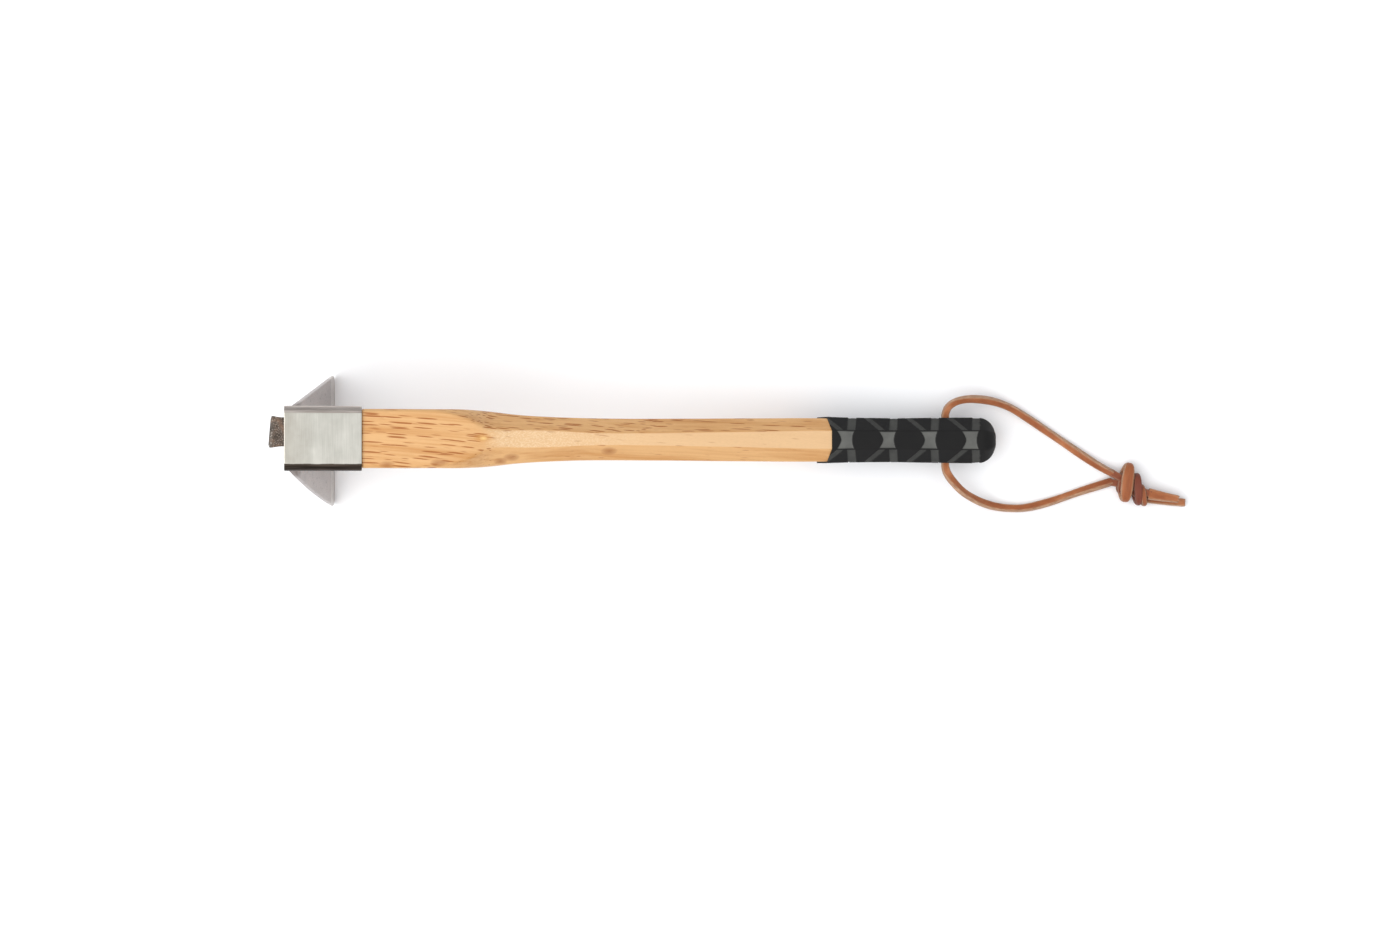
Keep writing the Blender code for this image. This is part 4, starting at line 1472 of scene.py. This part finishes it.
        points = np.column_stack([np.full(count, raw[0, 0]), outline])
        front_half = width + self.sleeve_gap - cut - self.pad_bar
        return points, full, around, front_half, length[-1] / 4


# ------------------------------------------------------------------ lanyard

class Lace(Enum):
    """Which stretch of the lace a piece is."""

    UPPER = 1
    LOWER = -1


# Middle line of each stretch of the lace from the hole outwards, in mm in the row frame
UPPER_ROUTE = [(165.6, 17.6, 17.2), (168.6, 20.3, 16.3), (173.6, 22.2, 14.7), (181.5, 22.9, 11.4),
               (192.1, 21.7, 7.2), (201.9, 18.4, 4.4), (211.9, 12.5, 2.9), (221.9, 5.8, 2.6),
               (231.7, -0.8, 2.6), (241.6, -7.6, 2.8), (250.9, -13.8, 4.0), (259.0, -18.4, 6.1)]
LOWER_ROUTE = [(165.3, -17.5, 17.2), (168.4, -22.0, 15.9), (174.8, -28.2, 12.6),
               (183.2, -33.0, 8.4), (192.2, -36.1, 5.0), (201.4, -37.4, 3.1), (211.4, -37.1, 2.6),
               (224.4, -33.9, 2.6), (241.4, -28.1, 2.6), (258.8, -22.6, 2.6)]
SHORT_TAIL_ROUTE = [(278.1, -29.4, 7.6), (286.2, -31.0, 7.5), (294.6, -32.4, 7.5)]
LONG_TAIL_ROUTE = [(278.1, -32.2, 2.6), (288.5, -33.4, 2.6), (299.2, -34.4, 2.6)]


def curve_through(points: list[Vector], spacing: float) -> list[Vector]:
    """Evenly spaced points on a smooth curve.

    Args:
        points: points that the curve passes through.
        spacing: distance between the new points.

    Returns:
        The new points, first and last included.
    """
    ends = [2 * points[0] - points[1]] + points + [2 * points[-1] - points[-2]]
    dense = []
    for p0, p1, p2, p3 in zip(ends, ends[1:], ends[2:], ends[3:]):
        for step in range(16):
            t = step / 16
            dense.append(0.5 * (2 * p1 + (p2 - p0) * t + (2 * p0 - 5 * p1 + 4 * p2 - p3) * t ** 2
                                + (3 * p1 - p0 - 3 * p2 + p3) * t ** 3))
    dense.append(points[-1])
    lengths = np.concatenate([[0.0], np.cumsum([(b - a).length for a, b in zip(dense, dense[1:])])])
    count = max(2, round(lengths[-1] / spacing))
    target = np.linspace(0.0, lengths[-1], count + 1)
    columns = [np.interp(target, lengths, [p[i] for p in dense]) for i in range(3)]
    return [Vector(p) for p in zip(*columns)]


@dataclass
class Lanyard(Assembly):
    """A leather lace through the cross hole, its ends tied in one overhand knot."""

    width: float = 3.9 * MM
    thickness: float = 3.0 * MM
    roll: float = math.radians(30)
    hole_half: float = 13.0 * MM
    run_out: float = 1.1 * MM          # straight stretch of a strand outside the hole
    lace_diameter: float = 4.8 * MM
    edge_radius: float = 0.55 * MM
    cut_reach: float = 0.75 * MM       # how far the cut side's look reaches round the edge
    cut_fade: float = 0.5 * MM
    uneven: float = 0.05               # share by which the lace's width and thickness vary
    strand_step: float = 1.6 * MM
    tail_step: float = 1.0 * MM
    knot_step: float = 1.2 * MM
    clearance: float = 0.05 * MM       # least height of the lace over the table
    # painted shade, with some compression: how dark the two ends inside the knot are
    squeezed_and_shaded: float = 0.6              # how dark the two ends inside the knot are
    wrap_sides: int = 44
    wrap_radius: float = 0.8 * MM

    def build(self) -> None:
        leather = OiledLeather().make()
        hinge = Vector(frame["joints"][0]["pos_m"])
        upper, upper_path = self.strand("lace_upper", Lace.UPPER, hinge)
        lower, lower_path = self.strand("lace_lower", Lace.LOWER, hinge)
        knot = self.knot()
        short = self.tail("lace_end_short", SHORT_TAIL_ROUTE, 1.6, 0.62)
        long = self.tail("lace_end_long", LONG_TAIL_ROUTE, 1.15, 0.95)
        for piece, *nodes in ((upper, "lanyard_strand_upper", "lanyard_bight"),
                              (lower, "lanyard_strand_lower"), (knot, "lanyard_knot"),
                              (short, "lanyard_tail_short"), (long, "lanyard_tail_long")):
            self.settle(piece, "lace_leather", leather, *nodes)
        for piece, path, side, others in ((upper, upper_path, 1, [knot, short, long]),
                                          (lower, lower_path, -1, [])):
            length = sum((b - a).length for a, b in zip(path, path[1:]))
            [tuple(p) for p in path]
            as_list(others)

    def sweep(self, points: list[Vector], widths: np.ndarray, thick: np.ndarray, up: Vector,
              rolls: np.ndarray, closed: bool = False) -> tuple[np.ndarray, np.ndarray, np.ndarray]:
        """Carry the lace's flat-sided section along a path.

        Args:
            points: middle line of the lace.
            widths: width at each point.
            thick: thickness at each point.
            up: direction that the grain side faces.
            rolls: turn of the section about the path at each point, in radians.
            closed: True for a path that ends where it starts.

        Returns:
            Rings of points, how far each point is on a cut side, and each point's place along
            and round the lace in millimetres.
        """
        count = len(points)
        rings, sides, places = [], [], []
        travelled = 0.0
        for i, point in enumerate(points):
            ahead = points[(i + 1) % count] if closed or i < count - 1 else points[i]
            behind = points[i - 1] if closed or i > 0 else points[i]
            along = (ahead - behind).normalized()
            across = along.cross(up).normalized()
            top = across.cross(along).normalized()
            turn = Matrix.Rotation(rolls[i], 3, along)
            across, top = turn @ across, turn @ top
            w, t = widths[i] / 2, thick[i] / 2
            outline = rounded_polygon([(w, t), (-w, t), (-w, -t), (w, -t)], self.edge_radius,
                                      support=0.2)
            rings.append([point + across * a + top * b for a, b in outline])
            sides.append([smooth((abs(a) - w + self.cut_reach) / self.cut_fade)
                          for a, _ in outline])
            places.append([(travelled / MM, a / MM, b / MM) for a, b in outline])
            travelled += (ahead - point).length
        return np.array(rings), np.array(sides), np.array(places)

    @staticmethod
    def mark(obj: bpy.types.Object, sides: np.ndarray, places: np.ndarray,
             pressed_shade: np.ndarray) -> None:
        """Store what the leather's finish reads at each point.

        Args:
            obj: the piece of lace.
            sides: how far each point is on a cut side.
            places: each point's place along and round the lace, in millimetres.
            pressed_shade: how dark each point is, from compressed leather and painted shade.
        """
        store(obj, "cut_side", sides)
        store(obj, "along", places)
        store(obj, "pressed_shade", pressed_shade)

    def strand(self, name: str, stretch: Lace,
               hinge: Vector) -> tuple[bpy.types.Object, list[Vector]]:
        """One strand from the middle of the hole to the knot.

        Args:
            name: name of the piece.
            stretch: which strand.
            hinge: middle of the cross hole.

        Returns:
            The piece and its middle line.
        """
        side = stretch.value
        route = UPPER_ROUTE if stretch is Lace.UPPER else LOWER_ROUTE
        outside = hinge + Vector((0.0, side * (self.hole_half + self.run_out), 0.0))
        inner = [hinge.lerp(outside, k / 6) for k in range(6)]
        path = inner + curve_through([outside] + [Vector(p) * MM for p in route], self.strand_step)
        count = len(path)
        run = np.linspace(0.0, 1.0, count)
        widths = self.width * (1 + self.uneven * np.sin(run * 23.0 + side))
        thick = self.thickness * (1 + self.uneven * np.sin(run * 17.0 + 2 * side))
        rolls = side * self.roll * smooth(run * 4.0) * (1 + 0.25 * np.sin(run * 9.0))
        rings, sides, places = self.sweep(path, widths, thick, UP, rolls)
        lift = np.minimum(rings[..., 2].min(axis=1) - self.clearance, 0.0)
        rings[..., 2] -= lift[:, None]
        obj = skin(name, rings)
        # the strand darkens towards the knot: painted shade, with some compressed leather
        near_knot = smooth((run - 0.94) / 0.06)[:, None] * np.ones_like(sides) * 0.35
        self.mark(obj, sides, places, near_knot)
        last = path[-1:] * ((count + 1) % 2)       # every second point may miss it
        return obj, path[::2] + last

    def tail(self, name: str, route: list[tuple[float, float, float]], widen: float,
             taper: float) -> bpy.types.Object:
        """Make a free end of the lace, cut off a little ragged.

        Args:
            name: name of the piece.
            route: points of its middle line in millimetres.
            widen: how much wider it starts than the lace.
            taper: width at its end as a share of its start.

        Returns:
            The piece.
        """
        path = curve_through([Vector(p) * MM for p in route], self.tail_step)
        count = len(path)
        run = np.linspace(0.0, 1.0, count)
        widths = self.width * widen * (1 - (1 - taper) * run)
        rings, sides, places = self.sweep(path, widths, np.full(count, self.thickness),
                                          Vector((0.0, 0.15, 1.0)), np.zeros(count))
        ragged = waver(rings[-3:], 1.3 * MM, 0.35 * MM, 5.0)
        ragged[..., 2] = rings[-3:][..., 2]
        rings[-3:] = ragged
        obj = skin(name, rings)
        cut_end = np.zeros_like(sides)
        cut_end[-1] = 0.3
        sides[-1] = 1.0
        self.mark(obj, sides, places, cut_end)
        return obj

    def knot(self) -> bpy.types.Object:
        """Make the overhand knot of the doubled lace: wraps round the two ends that pass through.

        Returns:
            The knot.
        """
        body = bmesh.new()
        # the last column darkens each turn: compressed leather, and painted shade on turns that lie lower or
        # behind others
        wraps = [  # middle, half width across, half height, lean, lace width, pressed
            ((266.0, -23.0, 5.65), 9.6, 4.0, 7.0, 6.8, 0.12),
            ((271.9, -26.9, 5.5), 7.6, 3.9, -3.0, 4.3, 0.85),
            ((275.0, -30.3, 5.0), 4.7, 3.4, -8.0, 3.4, 0.3),
            ((262.8, -23.4, 3.9), 4.3, 2.3, 10.0, 2.6, 0.6),
        ]
        parts = [self.wrap(*wrap) for wrap in wraps]
        through = [[(258.2, -18.0, 5.9), (262.5, -20.4, 6.4), (268.0, -23.6, 6.0),
                    (273.5, -27.2, 6.8), (279.2, -29.7, 7.5)],
                   [(258.0, -22.9, 2.6), (262.5, -24.0, 4.0), (268.0, -26.6, 4.4),
                    (273.5, -30.2, 3.4), (279.2, -32.4, 2.7)]]
        for route in through:
            path = curve_through([Vector(p) * MM for p in route], self.knot_step)
            count = len(path)
            swept = self.sweep(path, np.full(count, self.width), np.full(count, self.thickness),
                               UP, np.zeros(count))
            parts.append((*swept, np.full(swept[1].shape, self.squeezed_and_shaded), False))
        for rings, _, _, _, closed in parts:
            add_rings(body, rings, closed)
        obj = finish_mesh("lace_knot", body)
        self.mark(obj, np.concatenate([p[1].ravel() for p in parts]),
                  np.concatenate([p[2].reshape(-1, 3) for p in parts]),
                  np.concatenate([p[3].ravel() for p in parts]))
        return obj

    def wrap(self, middle: tuple[float, float, float], half: float, high: float, lean: float,
             width: float, press_and_shade: float
             ) -> tuple[np.ndarray, np.ndarray, np.ndarray, np.ndarray, bool]:
        """One turn of the lace round the knot, in millimetres and degrees.

        Args:
            middle: centre of the turn.
            half: half width of the turn across.
            high: half height of the turn.
            lean: turn about the vertical.
            width: width of the lace on this turn.
            press_and_shade: how dark the leather is, from compression and painted shade.

        Returns:
            Rings, sides, places and darkness values for this turn, and True because it is closed.
        """
        centre = Vector(middle) * MM
        tilt = Matrix.Rotation(math.radians(-lean), 3, "Z")
        count = self.wrap_sides
        path, outward = [], []
        for k in range(count):
            angle = math.tau * k / count
            c, s = math.cos(angle), math.sin(angle)
            y = half * math.copysign(abs(c) ** 0.85, c)
            z = high * math.copysign(abs(s) ** 0.85, s)
            path.append(centre + tilt @ Vector((0.55 * c * c, y, z)) * MM)
            outward.append((tilt @ Vector((0.0, high * c, half * s))).normalized())
        rings, sides, places = [], [], []
        for i, point in enumerate(path):
            along = (path[(i + 1) % count] - path[i - 1]).normalized()
            top = (outward[i] - along * outward[i].dot(along)).normalized()
            across = along.cross(top)
            angle = math.tau * i / count
            w = width / 2 * (0.46 + 0.54 * abs(math.sin(angle))) * MM
            t = self.thickness / 2 * 0.95
            outline = rounded_polygon([(w, t * 0.8), (w * 0.5, t), (-w * 0.5, t), (-w, t * 0.8),
                                       (-w, -t), (w, -t)], self.wrap_radius, support=0.2)
            rings.append([point + across * a + top * b for a, b in outline])
            sides.append([smooth((abs(a) - w + self.wrap_radius) / self.cut_fade)
                          for a, _ in outline])
            places.append([((i * 0.7) + middle[0], a / MM, b / MM) for a, b in outline])
        rings = np.array(rings)
        rings[..., 2] = np.maximum(rings[..., 2], self.clearance)
        pressed_shade = np.full(rings.shape[:2], press_and_shade)
        return rings, np.array(sides), np.array(places), pressed_shade, True


# ------------------------------------------------------------------ studio

@dataclass
class Studio:
    """White table, soft lights and a camera that looks straight down."""

    camera_height: float = 1083.0 * MM
    camera_x: float = 30.0 * MM
    camera_y: float = -14.27 * MM
    lens: float = 50.0
    sensor: float = 36.0
    floor_half: float = 3.0
    floor_drop: float = 0.02 * MM
    surroundings: float = 1.15

    def build(self) -> None:
        """Set up floor, camera, lights and world."""
        scene = bpy.context.scene
        scene.view_settings.view_transform = "Standard"
        self.floor()
        camera_data = bpy.data.cameras.new("camera")
        camera_data.lens, camera_data.sensor_width = self.lens, self.sensor
        camera = bpy.data.objects.new("camera", camera_data)
        camera.location = (self.camera_x, self.camera_y, self.camera_height)
        bpy.context.collection.objects.link(camera)
        scene.camera = camera
        self.softbox("key", (-0.75, -0.36, 1.45), (0.0, 0.0, 0.0), 1.6, 1.4, 22.0)
        self.softbox("overhead", (0.45, 0.0, 1.5), (0.0, 0.0, 0.0), 1.2, 0.8, 1.3)
        self.world()

    def floor(self) -> None:
        """Seamless white table top."""
        body = bmesh.new()
        bmesh.ops.create_grid(body, x_segments=8, y_segments=8, size=self.floor_half)
        table = finish_mesh("table_top", body)
        table.location.z = -self.floor_drop
        paper = Surface("white laminate, matt", base_color=linear("f8f8f9"), roughness=0.7,
                        specular_ior_level=0.2)
        table.data.materials.append(paper.material)

    @staticmethod
    def softbox(name: str, place: tuple[float, float, float], aim: tuple[float, float, float],
                width: float, height: float, power: float) -> None:
        """One rectangular soft light.

        Args:
            name: name of the light.
            place: where it hangs.
            aim: point that it faces.
            width: its width.
            height: its height.
            power: its power in watts.
        """
        data = bpy.data.lights.new(name, "AREA")
        data.shape, data.size, data.size_y, data.energy = "RECTANGLE", width, height, power
        light = bpy.data.objects.new(name, data)
        light.location = place
        light.rotation_euler = (Vector(place) - Vector(aim)).to_track_quat("Z", "Y").to_euler()
        bpy.context.collection.objects.link(light)

    def world(self) -> None:
        """Dim surroundings, paler above than at the sides, so that steel edges read dark."""
        world = bpy.data.worlds.new("studio")
        world.use_nodes = True
        bpy.context.scene.world = world
        tree = world.node_tree
        height = add(tree, "SeparateXYZ", {0: add(tree, "TexCoord", out="Generated")}, "Z")
        colour = add(tree, "ValToRGB", {0: height},
                     stops=[(0.0, "3a3b3d"), (0.9, "eeeff0"), (0.3, "a5a8ad")])
        background = tree.nodes["Background"]
        tree.links.new(colour, background.inputs["Color"])
        background.inputs["Strength"].default_value = self.surroundings


def main() -> None:
    """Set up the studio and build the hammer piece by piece."""
    logging.basicConfig(level=logging.INFO, format="%(name)s: %(message)s")
    noise.seed_set(NOISE_SEED)
    tool = ToolFrame.from_frame()
    Studio().build()
    Lanyard(tool, "lanyard").build()
    Head(tool, "hammer").build()
    Haft(tool, "hammer").build()


if __name__ == "__main__":
    main()
